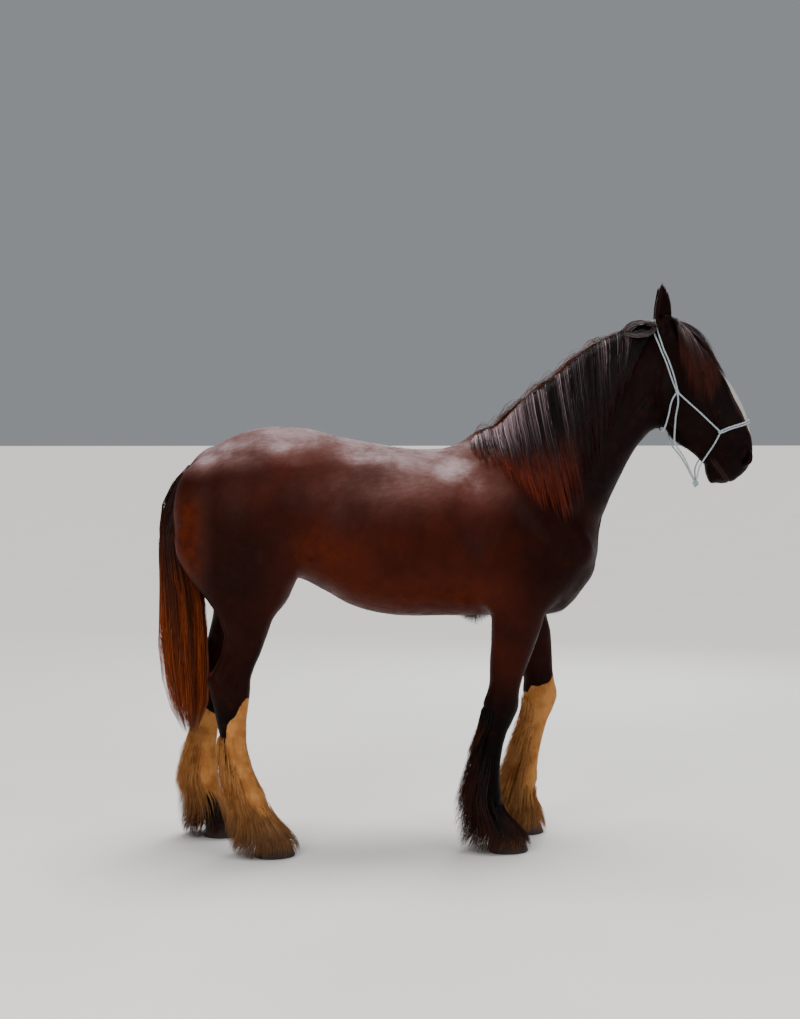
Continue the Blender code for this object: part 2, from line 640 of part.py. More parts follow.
def make_ears(head_room):
    """Leaf-shaped ears, leaning a little back; the right one is turned further outwards.

    Returns the room that each takes from the hair round it.
    """
    # share of the length, half width, depth, wall, lean back
    shape = [
        (0.00, 0.026, 0.030, 0.052, 0.000), (0.14, 0.034, 0.032, 0.040, 0.001),
        (0.32, 0.041, 0.029, 0.012, 0.003), (0.52, 0.039, 0.024, 0.006, 0.005),
        (0.72, 0.029, 0.018, 0.005, 0.007), (0.88, 0.016, 0.011, 0.005, 0.011),
        (1.00, 0.003, 0.005, 0.004, 0.016),
    ]
    rooms = []
    for name, (place, axis, forward) in EARS.items():
        base = head_point(*place)
        axis = Vector(axis).normalized()
        forward = Vector(forward)
        forward = (forward - axis * forward.dot(axis)).normalized()
        across = axis.cross(forward)
        work = bmesh.new()
        rings = []
        for share, half, depth, wall, lean in shape:
            centre = base + axis * (EAR_LENGTH * share) - forward * lean
            ring = ear_ring(half, depth, wall, 0.004)
            rings.append([work.verts.new(centre + across * a + forward * f) for a, f in ring])
        skin_rings(work, rings)
        ear = with_modifiers(mesh_from(work), boolean("DIFFERENCE", head_room))
        ear = add_part(f"ear_{name}", largest_body(ear), "bay")
        rooms.append(grown(f"ear_room_{name}", ear.data, HAIR_GAP))
    return rooms


# ---------------------------------------------------------------- hair
def outline_prism(name, points, low_y, high_y):
    """A flat outline in the x, z plane, extruded sideways."""
    curve = bpy.data.curves.new(name, "CURVE")
    curve.dimensions = "2D"
    curve.fill_mode = "BOTH"
    curve.extrude = (high_y - low_y) / 2
    spline = curve.splines.new("POLY")
    spline.points.add(len(points) - 1)
    for point, (x, z) in zip(spline.points, points):
        point.co = (x, z, 0.0, 1.0)
    spline.use_cyclic_u = True
    flat = object_from(name, curve, CUTTERS)
    work = bmesh.new()
    work.from_mesh(evaluated_mesh(flat))
    bpy.data.objects.remove(flat)
    bmesh.ops.remove_doubles(work, verts=work.verts, dist=0.00001)
    upright = Matrix.Translation((0, (low_y + high_y) / 2, 0)) @ Matrix.Rotation(math.pi / 2, 4, "X")
    bmesh.ops.transform(work, matrix=upright, verts=work.verts)
    bmesh.ops.recalc_face_normals(work, faces=work.faces)
    return add_cutter(name, mesh_from(work))


def hair_over(name, body, depth_at, outline, kind, rooms, triangles):
    """A layer of hair over the body, inside an outline; depth_at gives its depth at a place."""
    outer = body.copy()
    places = [vertex.co + vertex.normal * depth_at(vertex.co) for vertex in outer.vertices]
    for vertex, place in zip(outer.vertices, places):
        vertex.co = place
    cuts = [boolean("DIFFERENCE", room) for room in rooms]
    layer = with_modifiers(outer, boolean("INTERSECT", outline), *cuts)
    add_part(name, largest_body(thinned(largest_body(layer), triangles)), kind)


def mane_depth(place):
    """Full at the crest and thinner towards the tips."""
    height = (place - NECK_ROOT).dot(NECK_UP)
    share = min(1.0, max(0.0, (height + 0.20) / 0.42))
    return MANE_DEPTH * (MANE_TIP_SHARE + (1.0 - MANE_TIP_SHARE) * share)


def make_mane(coarse, rooms):
    outline = outline_prism("mane_outline", MANE_OUTLINE, -0.40, FAR_SIDE_MANE)
    hair_over("mane", coarse, mane_depth, outline, "mane", rooms, MANE_TRIANGLES)


def make_forelock(fine, rooms):
    outline = outline_prism("forelock_outline", FORELOCK_OUTLINE, *FORELOCK_SPAN)
    hair_over("forelock", fine, lambda place: FORELOCK_DEPTH, outline, "mane", rooms,
              FORELOCK_TRIANGLES)


def make_tail(room):
    stations = [(z, front, back, half, (front + back) / 2, 2.0, 2.0)
                for z, front, back, half in TAIL]
    hair = with_modifiers(upright_loft(0.0, stations, 0.12, 10), boolean("DIFFERENCE", room))
    add_part("tail", largest_body(hair), "tail")


def make_feathers():
    """The long hair of each lower limb, as a sleeve round the cannon, pastern and hoof."""
    for name, (y, line) in LIMBS.items():
        fore = name.startswith("fore")
        outer = upright_loft(y, limb_stations(line, FORE_FEATHER if fore else HIND_FEATHER), 0.09, 12)
        limb = [row for row in (FORE_PROFILE if fore else HIND_PROFILE) if row[0] > HOOF_TOP]
        inner = [(z, front + FEATHER_GAP, back + FEATHER_GAP, half + FEATHER_GAP)
                 for z, front, back, half in HOOF + limb]
        room = add_cutter(f"{name}_room", upright_loft(y, limb_stations(line, inner), 0.05, 10))
        sleeve = with_modifiers(outer, boolean("DIFFERENCE", room))
        kind = "white_leg" if name in WHITE_LIMBS else "dark_leg"
        add_part(f"{name}_feather", largest_body(sleeve), kind)


# ---------------------------------------------------------------- halter
def surface_of(names):
    """A search tree over the named parts, for laying a rope on them."""
    corners, faces = [], []
    for name in names:
        mesh = bpy.data.objects[name].data
        first = len(corners)
        corners += [vertex.co.copy() for vertex in mesh.vertices]
        faces += [[first + index for index in face.vertices] for face in mesh.polygons]
    return BVHTree.FromPolygons(corners, faces)


def laid(surface, aim, direction):
    """Where a rope lies when it is brought to a point from outside."""
    far = 0.4
    hit, normal, _, _ = surface.ray_cast(aim - direction * far, direction)
    return hit + normal * (ROPE_RADIUS + ROPE_LIFT)


def beside(surface, along, up, side):
    return laid(surface, head_point(along, up, 0.0), HEAD_SIDE * -side)


def over(surface, along, side_offset):
    return laid(surface, head_point(along, 0.0, side_offset), -HEAD_UP)


def behind(surface, x, side_offset):
    return laid(surface, Vector((x, side_offset, 2.0)), Vector((0.0, 0.0, -1.0)))


def rope(name, route, start_gap, end_gap, points):
    """A rope along a smooth route; its ends stop short by the knots' radii."""
    route = np.array([tuple(point) for point in route])
    reach = np.concatenate([[0.0], np.cumsum(np.linalg.norm(np.diff(route, axis=0), axis=1))])
    at = np.linspace(start_gap, reach[-1] - end_gap, points)
    path = np.stack([smooth_values(reach, route[:, c], at) for c in range(3)], axis=1)
    curve = bpy.data.curves.new(name, "CURVE")
    curve.dimensions = "3D"
    curve.bevel_depth = ROPE_RADIUS
    curve.bevel_resolution = 1
    curve.use_fill_caps = True
    spline = curve.splines.new("POLY")
    spline.points.add(len(path) - 1)
    for point, place in zip(spline.points, path):
        point.co = (*place, 1.0)
    tube = object_from(name, curve, CUTTERS)
    mesh = evaluated_mesh(tube)
    bpy.data.objects.remove(tube)
    add_part(name, largest_body(mesh), "rope")


def knot(name, centre, radius, along):
    """A pulled-tight knot, as a short barrel."""
    along = Vector(along).normalized()
    across = along.orthogonal().normalized()
    axes = (along, across, along.cross(across))
    solid = ball(centre, (radius, radius * 0.86, radius * 0.86), axes, segments=8)
    add_part(name, largest_body(solid), "rope")


def mirrored(half):
    """Completes a route that ends on the middle plane."""
    return half + [Vector((place.x, -place.y, place.z)) for place in reversed(half[:-1])]


def make_halter():
    surface = surface_of(("head", "lower_jaw", "neck", "mane", "forelock"))
    fiador = head_point(0.590, -0.180, 0.0)
    knot("halter_fiador_knot", fiador, FIADOR_RADIUS, HEAD_AXIS)
    cheek, nose = {}, {}
    for name, side in (("right", -1), ("left", 1)):
        cheek[side] = beside(surface, 0.236, -0.088, side) + HEAD_SIDE * side * KNOT_LIFT
        nose[side] = beside(surface, 0.457, -0.011, side) + HEAD_SIDE * side * KNOT_LIFT
        knot(f"halter_cheek_knot_{name}", cheek[side], KNOT_RADIUS, HEAD_AXIS)
        knot(f"halter_nose_knot_{name}", nose[side], KNOT_RADIUS, HEAD_UP)
        down_the_cheek = [beside(surface, 0.290, -0.070, side), beside(surface, 0.345, -0.050, side),
                          beside(surface, 0.400, -0.030, side)]
        rope(f"halter_cheek_rope_{name}", [cheek[side], *down_the_cheek, nose[side]], STOP, STOP, 6)
        under_the_chin = [beside(surface, 0.488, -0.056, side), beside(surface, 0.512, -0.098, side),
                          head_point(0.545, -0.150, side * 0.030)]
        rope(f"halter_chin_rope_{name}", [nose[side], *under_the_chin, fiador],
             STOP, FIADOR_STOP, 7)
        under_the_jaw = [beside(surface, 0.270, -0.102, side), beside(surface, 0.325, -0.142, side),
                         head_point(0.394, -0.180, side * 0.046),
                         head_point(0.480, -0.175, side * 0.026)]
        rope(f"halter_jaw_rope_{name}", [cheek[side], *under_the_jaw, fiador],
             STOP, FIADOR_STOP, 9)
    throat = [cheek[-1] - HEAD_UP * TWIN / 2, beside(surface, 0.258, -0.124, -1),
              beside(surface, 0.300, -0.158, -1), head_point(0.338, -0.194, -0.046),
              head_point(0.345, -0.201, 0.0)]
    rope("halter_throat_rope", mirrored(throat), STOP, STOP, 13)
    for name, shift in (("front", CROWN_TWIN / 2), ("rear", -CROWN_TWIN / 2)):
        crown = [cheek[-1] + HEAD_UP * shift]
        crown += [beside(surface, along, up + shift, -1)
                  for along, up in ((0.180, -0.074), (0.120, -0.062), (0.060, -0.055), (0.010, -0.047))]
        crown += [behind(surface, 0.766 + shift, side_offset) for side_offset in (-0.045, -0.020, 0.0)]
        rope(f"halter_crown_rope_{name}", mirrored(crown), STOP, STOP, 15)
    for name, shift in (("upper", -TWIN / 2), ("lower", TWIN / 2)):
        noseband = [nose[-1] + HEAD_AXIS * shift, beside(surface, 0.463 + shift, 0.030, -1),
                    beside(surface, 0.470 + shift, 0.060, -1), over(surface, 0.478 + shift, -0.040),
                    over(surface, 0.482 + shift, -0.020), over(surface, 0.483 + shift, 0.0)]
        rope(f"halter_nose_rope_{name}", mirrored(noseband), STOP, STOP, 11)


def main():
    body = fused_body()
    fine = thinned(body, HEAD_GRAIN)
    coarse = thinned(body, TRUNK_GRAIN)
    make_head(fine, make_eyes())
    make_neck_and_trunk(coarse)
    make_limbs(thinned(body, LIMB_GRAIN))
    make_hooves()
    head_room = grown("head_room", fine, HAIR_GAP)
    trunk_room = grown("trunk_room", coarse, HAIR_GAP)
    eye_room = add_cutter("eye_room", ball(eye_centre(-1), (EYE_RADIUS + HAIR_GAP,) * 3, segments=14))
    ear_rooms = make_ears(grown("ear_seat", fine, GAP * 2))
    make_mane(coarse, [trunk_room, head_room])
    make_forelock(fine, [head_room, eye_room, *ear_rooms])
    make_tail(trunk_room)
    make_feathers()
    make_halter()


clear_scene()
PARTS = new_collection("clydesdale_horse")
CUTTERS = new_collection("cutters")
HORSE = bpy.data.objects.new("horse", None)
HORSE.location = (-MIDDLE, 0.0, 0.0)
PARTS.objects.link(HORSE)
main()
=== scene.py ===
"""Looks of a life-size young Clydesdale horse in a rope halter.

One skin is drawn from the same tables as the solids, a coat's depth inside them, and
carries the eyelids, nostrils, lips and muscles.  The hair is solid strands: mane, forelock,
tail, feathers, and small tufts of the short coat.  Everything is worked out in the tables'
frame (+X to the muzzle, +Y to the horse's left, +Z up) and moved to the model's frame when
a mesh is made.
"""
import math

import bmesh
import bpy
import numpy as np
from mathutils import Matrix, Vector


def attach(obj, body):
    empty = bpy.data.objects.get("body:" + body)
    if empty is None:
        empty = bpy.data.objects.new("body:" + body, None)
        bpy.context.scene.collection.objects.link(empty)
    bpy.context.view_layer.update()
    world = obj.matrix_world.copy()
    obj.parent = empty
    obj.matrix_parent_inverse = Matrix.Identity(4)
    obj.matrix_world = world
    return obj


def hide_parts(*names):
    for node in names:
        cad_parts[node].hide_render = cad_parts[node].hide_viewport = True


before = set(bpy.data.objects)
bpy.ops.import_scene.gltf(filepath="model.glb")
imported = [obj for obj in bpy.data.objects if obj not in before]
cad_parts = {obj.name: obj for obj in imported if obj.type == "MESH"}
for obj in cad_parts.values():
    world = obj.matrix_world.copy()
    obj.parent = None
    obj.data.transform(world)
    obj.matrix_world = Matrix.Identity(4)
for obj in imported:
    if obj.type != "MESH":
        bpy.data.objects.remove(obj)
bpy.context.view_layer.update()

# ---------------------------------------------------------------- driving sizes, metres
MIDDLE = 0.017                 # the tables' x at the middle of the model's box
SHIFT = np.array((MIDDLE, 0.0, 0.0))
COAT_DEPTH = 0.005             # from the tips of the short coat down to the skin
FACE_DEPTH = 0.0022
LIMB_DEPTH = 0.0035
COARSE_GRAIN = 0.0095          # of the skin's grid, on the body
FINE_GRAIN = 0.0048            # and on the head
SLOPE_STEP = 0.001             # for taking the slope of a field
FAR = 1.0                      # a field's value away from all shapes

FORE_Y = 0.145
HIND_Y = 0.165
LEFT_FORE = 0.035              # how far the left limbs' muscles are ahead of the right ones'
LEFT_HIND = -0.035
HOOF_TOP = 0.072
EYE_RADIUS = 0.021
EAR_LENGTH = 0.150
ROPE_RADIUS = 0.0035
KNOT_RADIUS = 0.0062           # round which a knot's rope is wound
TWIN = 0.0078                  # between the middles of the two ropes over the nose
CROWN_TWIN = 0.0110            # and of the two over the crown

PATCH = 0.003                  # of the unwrap that one strand takes
DENSITY = 1.0
# by piece: how many strands, how wide one is, and the seeds of its draws and of its tints
STRANDS = {
    "mane": (6400, 0.0021, 11, 11),
    "mane_loop": (560, 0.0015, 26, 27),
    "crest_wisps": (700, 0.0017, 29, 30),
    "forelock": (2000, 0.0019, 16, 17),
    "tail": (4400, 0.0024, 20, 31),
    "feather": (2560, 0.0023, 51, 71),
    "belly_fringe": (460, 0.0016, 39, 40),
    "coat_barrel": (14000, 0.0017, 91, 101),
    "coat_shoulder": (14000, 0.0017, 94, 104),
    "coat_head": (11000, 0.0011, 92, 102),
    "coat_limbs": (10000, 0.0016, 93, 103),
    "ear_hair": (620, 0.0011, 131, 141),
}
LASHES = 70                    # for each eye
WHISKERS = 46                  # tried on each side of the lips
LASH_WIDTH = 0.00055
LASH_SEEDS = (151, 152)
SIDES = {"right": -1, "left": 1}     # the horse's own sides, and the sign of y there

# ---------------------------------------------------------------- body tables, as in the CAD
# x, top, bottom, half width, height of the widest line, upper and lower roundness (2 = oval)
TRUNK = [
    (-1.050, 1.380, 1.220, 0.040, 1.30, 2.00, 2.0),
    (-1.020, 1.450, 1.120, 0.110, 1.30, 2.00, 2.0),
    (-0.980, 1.505, 1.060, 0.170, 1.30, 2.00, 2.0),
    (-0.920, 1.544, 1.030, 0.222, 1.29, 2.00, 2.0),
    (-0.864, 1.577, 1.020, 0.252, 1.28, 2.05, 2.0),
    (-0.787, 1.605, 1.020, 0.272, 1.27, 2.05, 2.0),
    (-0.691, 1.621, 1.035, 0.280, 1.25, 2.00, 2.0),
    (-0.610, 1.618, 1.030, 0.276, 1.23, 1.95, 2.0),
    (-0.500, 1.595, 0.980, 0.274, 1.20, 1.95, 2.0),
    (-0.402, 1.571, 0.926, 0.282, 1.18, 2.00, 2.05),
    (-0.306, 1.554, 0.897, 0.290, 1.17, 2.00, 2.1),
    (-0.210, 1.538, 0.883, 0.294, 1.16, 2.00, 2.1),
    (-0.133, 1.532, 0.881, 0.292, 1.15, 1.95, 2.1),
    (-0.056, 1.534, 0.882, 0.285, 1.15, 1.85, 2.1),
    (0.002, 1.547, 0.881, 0.275, 1.15, 1.70, 2.1),
    (0.060, 1.569, 0.880, 0.260, 1.14, 1.50, 2.1),
    (0.117, 1.590, 0.881, 0.245, 1.13, 1.38, 2.1),
    (0.175, 1.585, 0.880, 0.232, 1.12, 1.40, 2.1),
    (0.252, 1.550, 0.880, 0.225, 1.12, 1.50, 2.1),
    (0.330, 1.490, 0.880, 0.222, 1.12, 1.70, 2.1),
    (0.400, 1.430, 0.892, 0.212, 1.12, 1.90, 2.1),
    (0.466, 1.370, 0.942, 0.183, 1.14, 2.00, 2.1),
    (0.520, 1.300, 1.032, 0.120, 1.17, 2.00, 2.0),
    (0.556, 1.250, 1.105, 0.055, 1.18, 2.00, 2.0),
]
NECK_ROOT = np.array((0.375, 0.0, 1.446))
NECK_AXIS = np.array((1.0, 0.0, 1.0)) / math.sqrt(2.0)
NECK_UP = np.array((-1.0, 0.0, 1.0)) / math.sqrt(2.0)
NECK = [
    (-0.120, 0.290, -0.300, 0.195, -0.10, 1.55, 2.1),
    (0.015, 0.272, -0.270, 0.172, -0.08, 1.50, 2.1),
    (0.100, 0.272, -0.237, 0.152, -0.05, 1.45, 2.1),
    (0.166, 0.264, -0.215, 0.138, -0.02, 1.45, 2.1),
    (0.239, 0.253, -0.191, 0.122, 0.00, 1.50, 2.1),
    (0.312, 0.245, -0.175, 0.112, 0.01, 1.60, 2.1),
    (0.370, 0.240, -0.170, 0.104, 0.015, 1.70, 2.0),
    (0.430, 0.230, -0.158, 0.098, 0.02, 1.80, 2.0),
    (0.497, 0.210, -0.112, 0.092, 0.04, 2.00, 2.0),
    (0.574, 0.180, -0.040, 0.080, 0.06, 2.00, 2.1),
    (0.639, 0.138, 0.010, 0.058, 0.07, 2.00, 2.1),
    (0.668, 0.100, 0.050, 0.025, 0.075, 2.00, 2.0),
]
# The head's axis runs from the poll down to the lips, its up side is the nose bridge.
POLL = np.array((0.806, 0.0, 1.994))
HEAD_AXIS = np.array((0.497, 0.0, -0.868)) / math.hypot(0.497, 0.868)
HEAD_UP = np.array((0.868, 0.0, 0.497)) / math.hypot(0.497, 0.868)
SIDEWAYS = np.array((0.0, 1.0, 0.0))
DOWN = np.array((0.0, 0.0, -1.0))
ABOVE = 2.20                   # a height over the whole horse
HEAD = [
    (-0.030, 0.020, -0.050, 0.030, -0.010, 2.0, 2.0),
    (0.000, 0.045, -0.075, 0.060, 0.000, 2.2, 2.0),
    (0.040, 0.060, -0.100, 0.076, 0.000, 2.3, 2.0),
    (0.087, 0.072, -0.125, 0.086, 0.010, 2.4, 1.9),
    (0.162, 0.094, -0.145, 0.095, 0.020, 2.5, 1.9),
    (0.210, 0.103, -0.158, 0.098, 0.020, 2.5, 1.9),
    (0.248, 0.112, -0.168, 0.096, 0.020, 2.5, 1.9),
    (0.284, 0.121, -0.175, 0.090, 0.010, 2.4, 1.9),
    (0.335, 0.128, -0.181, 0.080, 0.005, 2.3, 1.9),
    (0.379, 0.130, -0.178, 0.070, 0.000, 2.2, 1.9),
    (0.422, 0.128, -0.163, 0.062, 0.000, 2.2, 2.0),
    (0.470, 0.121, -0.139, 0.056, -0.005, 2.2, 2.1),
    (0.507, 0.110, -0.126, 0.054, -0.010, 2.2, 2.2),
    (0.544, 0.098, -0.120, 0.056, -0.010, 2.2, 2.2),
    (0.580, 0.083, -0.126, 0.057, -0.020, 2.2, 2.2),
    (0.607, 0.066, -0.125, 0.053, -0.025, 2.2, 2.2),
    (0.626, 0.047, -0.112, 0.046, -0.030, 2.1, 2.1),
    (0.642, 0.021, -0.092, 0.035, -0.040, 2.0, 2.0),
    (0.652, -0.010, -0.065, 0.018, -0.045, 2.0, 2.0),
]
THROAT = (0.775, 0.0, 1.658)
THROAT_RADII = (0.052, 0.048, 0.046)
# A limb is a centre line (height, x) with a profile (height, front, back, half width).
FORE_PROFILE = [
    (0.030, 0.060, 0.057, 0.064), (0.085, 0.058, 0.057, 0.062), (0.115, 0.050, 0.054, 0.054),
    (0.150, 0.044, 0.051, 0.048), (0.185, 0.048, 0.057, 0.050), (0.215, 0.053, 0.063, 0.054),
    (0.250, 0.048, 0.058, 0.048), (0.300, 0.042, 0.053, 0.042), (0.380, 0.040, 0.051, 0.039),
    (0.450, 0.045, 0.052, 0.042), (0.500, 0.058, 0.063, 0.052), (0.550, 0.065, 0.071, 0.058),
    (0.600, 0.061, 0.067, 0.055), (0.650, 0.063, 0.066, 0.055), (0.720, 0.077, 0.077, 0.062),
    (0.800, 0.092, 0.086, 0.072), (0.880, 0.100, 0.100, 0.080), (0.960, 0.100, 0.100, 0.072),
    (1.060, 0.050, 0.050, 0.040),
]
HIND_PROFILE = [
    (0.030, 0.060, 0.057, 0.064), (0.085, 0.058, 0.057, 0.062), (0.115, 0.050, 0.054, 0.054),
    (0.150, 0.045, 0.053, 0.048), (0.190, 0.048, 0.058, 0.050), (0.235, 0.055, 0.065, 0.056),
    (0.280, 0.048, 0.058, 0.048), (0.340, 0.044, 0.054, 0.042), (0.440, 0.047, 0.056, 0.042),
    (0.500, 0.056, 0.060, 0.048), (0.560, 0.070, 0.066, 0.056), (0.620, 0.080, 0.078, 0.060),
    (0.660, 0.077, 0.088, 0.056), (0.700, 0.076, 0.082, 0.053), (0.760, 0.083, 0.070, 0.058),
    (0.830, 0.092, 0.074, 0.070), (0.900, 0.098, 0.086, 0.084), (0.980, 0.110, 0.110, 0.088),
    (1.060, 0.100, 0.100, 0.070), (1.140, 0.050, 0.050, 0.040),
]
# where the feather's tips lie round the limb
FORE_FEATHER = [
    (0.000, 0.092, 0.176, 0.092), (0.032, 0.094, 0.184, 0.096), (0.055, 0.091, 0.190, 0.096),
    (0.100, 0.077, 0.178, 0.086), (0.150, 0.053, 0.154, 0.078), (0.220, 0.058, 0.124, 0.074),
    (0.300, 0.046, 0.104, 0.064), (0.400, 0.044, 0.092, 0.058), (0.465, 0.050, 0.080, 0.060),
    (0.560, 0.069, 0.080, 0.062),
]
HIND_FEATHER = [
    (0.000, 0.098, 0.150, 0.094), (0.032, 0.101, 0.164, 0.098), (0.055, 0.098, 0.172, 0.098),
    (0.100, 0.083, 0.164, 0.090), (0.160, 0.054, 0.140, 0.082), (0.235, 0.059, 0.120, 0.076),
    (0.300, 0.048, 0.108, 0.066), (0.400, 0.049, 0.094, 0.060), (0.470, 0.056, 0.086, 0.062),
    (0.600, 0.075, 0.082, 0.064),
]
LIMBS = {
    "fore_right": (-FORE_Y, [(0.055, 0.187), (0.215, 0.117), (0.360, 0.130), (0.555, 0.168),
                             (0.740, 0.200), (0.880, 0.225)]),
    "fore_left": (FORE_Y, [(0.055, 0.289), (0.215, 0.297), (0.360, 0.326), (0.555, 0.360),
                           (0.740, 0.325), (0.880, 0.285)]),
    "hind_right": (-HIND_Y, [(0.055, -0.700), (0.140, -0.737), (0.235, -0.783), (0.440, -0.842),
                             (0.620, -0.860), (0.760, -0.825), (0.900, -0.790), (0.980, -0.760)]),
    "hind_left": (HIND_Y, [(0.055, -0.905), (0.140, -0.935), (0.235, -0.972), (0.440, -0.962),
                           (0.600, -0.945), (0.760, -0.900), (0.900, -0.850), (0.980, -0.810)]),
}
# by side: an ear's base in the head's places, its axis, and the way its hollow faces
EARS = {
    -1: ((-0.010, 0.004, -0.052), (-0.065, -0.20, 1.0), (0.60, -0.80, -0.05)),
    1: ((0.004, 0.018, 0.052), (-0.060, 0.13, 1.0), (0.85, 0.50, -0.05)),
}
HOOF = [(0.000, 0.086, 0.074, 0.079), (0.036, 0.072, 0.067, 0.071), (HOOF_TOP, 0.058, 0.060, 0.064)]
# height, front x, back x, half width, from the tips of the hair up to the dock
TAIL = [
    (0.420, -1.005, -1.035, 0.015), (0.465, -0.972, -1.072, 0.042), (0.510, -0.955, -1.092, 0.055),
    (0.570, -0.945, -1.112, 0.066), (0.650, -0.944, -1.126, 0.075), (0.800, -0.947, -1.136, 0.083),
    (0.950, -0.957, -1.134, 0.080), (1.100, -1.005, -1.134, 0.070), (1.200, -1.020, -1.133, 0.060),
    (1.310, -1.015, -1.122, 0.052), (1.400, -0.998, -1.094, 0.045), (1.440, -0.985, -1.070, 0.038),
    (1.470, -0.972, -1.044, 0.030), (1.500, -0.965, -1.005, 0.015),
]
# a strand's root on the crest (x), and where its tip hangs on the right side (x, z)
MANE_FALL = [
    (0.050, 0.070, 1.450), (0.120, 0.155, 1.380), (0.180, 0.240, 1.336), (0.250, 0.320, 1.282),
    (0.330, 0.410, 1.245), (0.410, 0.470, 1.300), (0.490, 0.520, 1.410), (0.560, 0.556, 1.525),
    (0.630, 0.598, 1.640), (0.690, 0.636, 1.720), (0.745, 0.660, 1.840),
]


# ---------------------------------------------------------------- numbers
def smooth_values(places, values, at):
    """Monotone cubic through (place, value) pairs, so that an outline never overshoots."""
    places = np.asarray(places, float)
    values = np.asarray(values, float)
    step = np.diff(places)
    slope = np.diff(values) / step
    tangent = np.zeros_like(values)
    tangent[0], tangent[-1] = slope[0], slope[-1]
    first = 2.0 * step[1:] + step[:-1]
    second = step[1:] + 2.0 * step[:-1]
    same_way = slope[:-1] * slope[1:] > 0.0
    before = np.where(same_way, slope[:-1], 1.0)
    after = np.where(same_way, slope[1:], 1.0)
    tangent[1:-1] = np.where(same_way, (first + second) / (first / before + second / after), 0.0)
    i = np.clip(np.searchsorted(places, at) - 1, 0, len(step) - 1)
    t = np.clip((at - places[i]) / step[i], 0.0, 1.0)
    start = (1 + 2 * t) * (1 - t) ** 2 * values[i] + t * (1 - t) ** 2 * step[i] * tangent[i]
    end = t * t * (3 - 2 * t) * values[i + 1] + t * t * (t - 1) * step[i] * tangent[i + 1]
    return start + end


def columns_at(table, places):
    """Each column of a table after the first, at places of the first."""
    table = np.array(table)
    return [smooth_values(table[:, 0], column, places) for column in table.T[1:]]


def ramp(values, low, high):
    """0 below low and 1 above high, eased between; low may be the larger of the two."""
    t = np.clip((values - low) / (high - low), 0.0, 1.0)
    return t * t * (3.0 - 2.0 * t)


def hump(*offsets):
    """1 where every offset is 0, about a third where one of them is 1, and nothing far out."""
    return np.exp(-sum(offset ** 2 for offset in offsets))


def in_columns(count, *values):
    """Values side by side in count rows; each is one number or a number for each row."""
    return np.stack([np.broadcast_to(value, count) for value in values], axis=1)


def unit(vectors):
    vectors = np.asarray(vectors, float)
    return vectors / np.maximum(np.linalg.norm(vectors, axis=-1, keepdims=True), 1e-9)


def head_point(along, up, side):
    return POLL + HEAD_AXIS * along + HEAD_UP * up + SIDEWAYS * side


def head_places(points):
    """Points as (along, up, side) of the head."""
    away = points - POLL
    return np.stack([away @ HEAD_AXIS, away @ HEAD_UP, away[..., 1]], axis=-1)


def segment_distance(points, start, end):
    start, end = np.asarray(start, float), np.asarray(end, float)
    along = end - start
    share = np.clip((points - start) @ along / max(along @ along, 1e-12), 0.0, 1.0)
    return np.linalg.norm(points - start - share[:, None] * along, axis=1)


# ---------------------------------------------------------------- fields of solid shapes
LOFT_STEPS = 500


class Loft:
    """Rounded sections along an axis, by the tables' columns; distances are approximate."""

    def __init__(self, origin, axis, up, stations, blend):
        self.origin, self.axis, self.up = (np.asarray(v, float) for v in (origin, axis, up))
        self.across = np.cross(self.axis, self.up)
        self.blend = blend
        self.places = np.linspace(stations[0][0], stations[-1][0], LOFT_STEPS)
        self.columns = columns_at(stations, self.places)

    def reach(self, margin):
        top, bottom, half = self.columns[:3]
        line = self.origin + np.outer(self.places, self.axis)
        edges = [line + np.outer(height, self.up) + np.outer(side, self.across)
                 for height in (top, bottom) for side in (half, -half)]
        edges = np.concatenate(edges)
        return edges.min(axis=0) - margin, edges.max(axis=0) + margin

    def distance(self, points):
        away = points - self.origin
        place, height, side = away @ self.axis, away @ self.up, away @ self.across
        columns = [np.interp(place, self.places, column) for column in self.columns]
        top, bottom, half, middle, upper, lower = columns
        height = height - middle
        tall = np.maximum(np.where(height > 0.0, top - middle, middle - bottom), 0.001)
        power = np.where(height > 0.0, upper, lower)
        share = (np.abs(height) / tall) ** power + (np.abs(side) / np.maximum(half, 0.001)) ** power
        share = np.maximum(share ** (1.0 / power), 1e-6)
        inside = np.hypot(height, side) * (1.0 - 1.0 / share)
        past_end = np.maximum(place - self.places[-1], self.places[0] - place)
        outside = np.hypot(np.maximum(inside, 0.0), past_end)
        return np.where(past_end > 0.0, outside, np.maximum(inside, past_end))


class Capsule:
    """The hull of two balls."""

    def __init__(self, start, end, start_radius, end_radius, blend):
        self.start, self.end = np.asarray(start, float), np.asarray(end, float)
        self.radii = (start_radius, end_radius)
        self.blend = blend

    def reach(self, margin):
        margin = margin + max(self.radii)
        return np.minimum(self.start, self.end) - margin, np.maximum(self.start, self.end) + margin

    def distance(self, points):
        along = self.end - self.start
        share = np.clip((points - self.start) @ along / (along @ along), 0.0, 1.0)
        gap = np.linalg.norm(points - self.start - share[:, None] * along, axis=1)
        eased = share * share * (3.0 - 2.0 * share)
        return gap - self.radii[0] - eased * (self.radii[1] - self.radii[0])


class Ball:
    """An oval ball; axes gives the directions of its three radii.  hollow takes it away."""

    def __init__(self, centre, radii, blend, axes=np.eye(3), hollow=False):
        self.centre, self.radii = np.asarray(centre, float), np.asarray(radii, float)
        self.axes = unit(np.array(axes, float))
        self.blend = blend
        self.hollow = hollow

    def reach(self, margin):
        margin = margin + self.radii.max()
        return self.centre - margin, self.centre + margin

    def distance(self, points):
        away = (points - self.centre) @ self.axes.T
        first = np.linalg.norm(away / self.radii, axis=1)
        second = np.maximum(np.linalg.norm(away / self.radii ** 2, axis=1), 1e-9)
        return first * (first - 1.0) / second


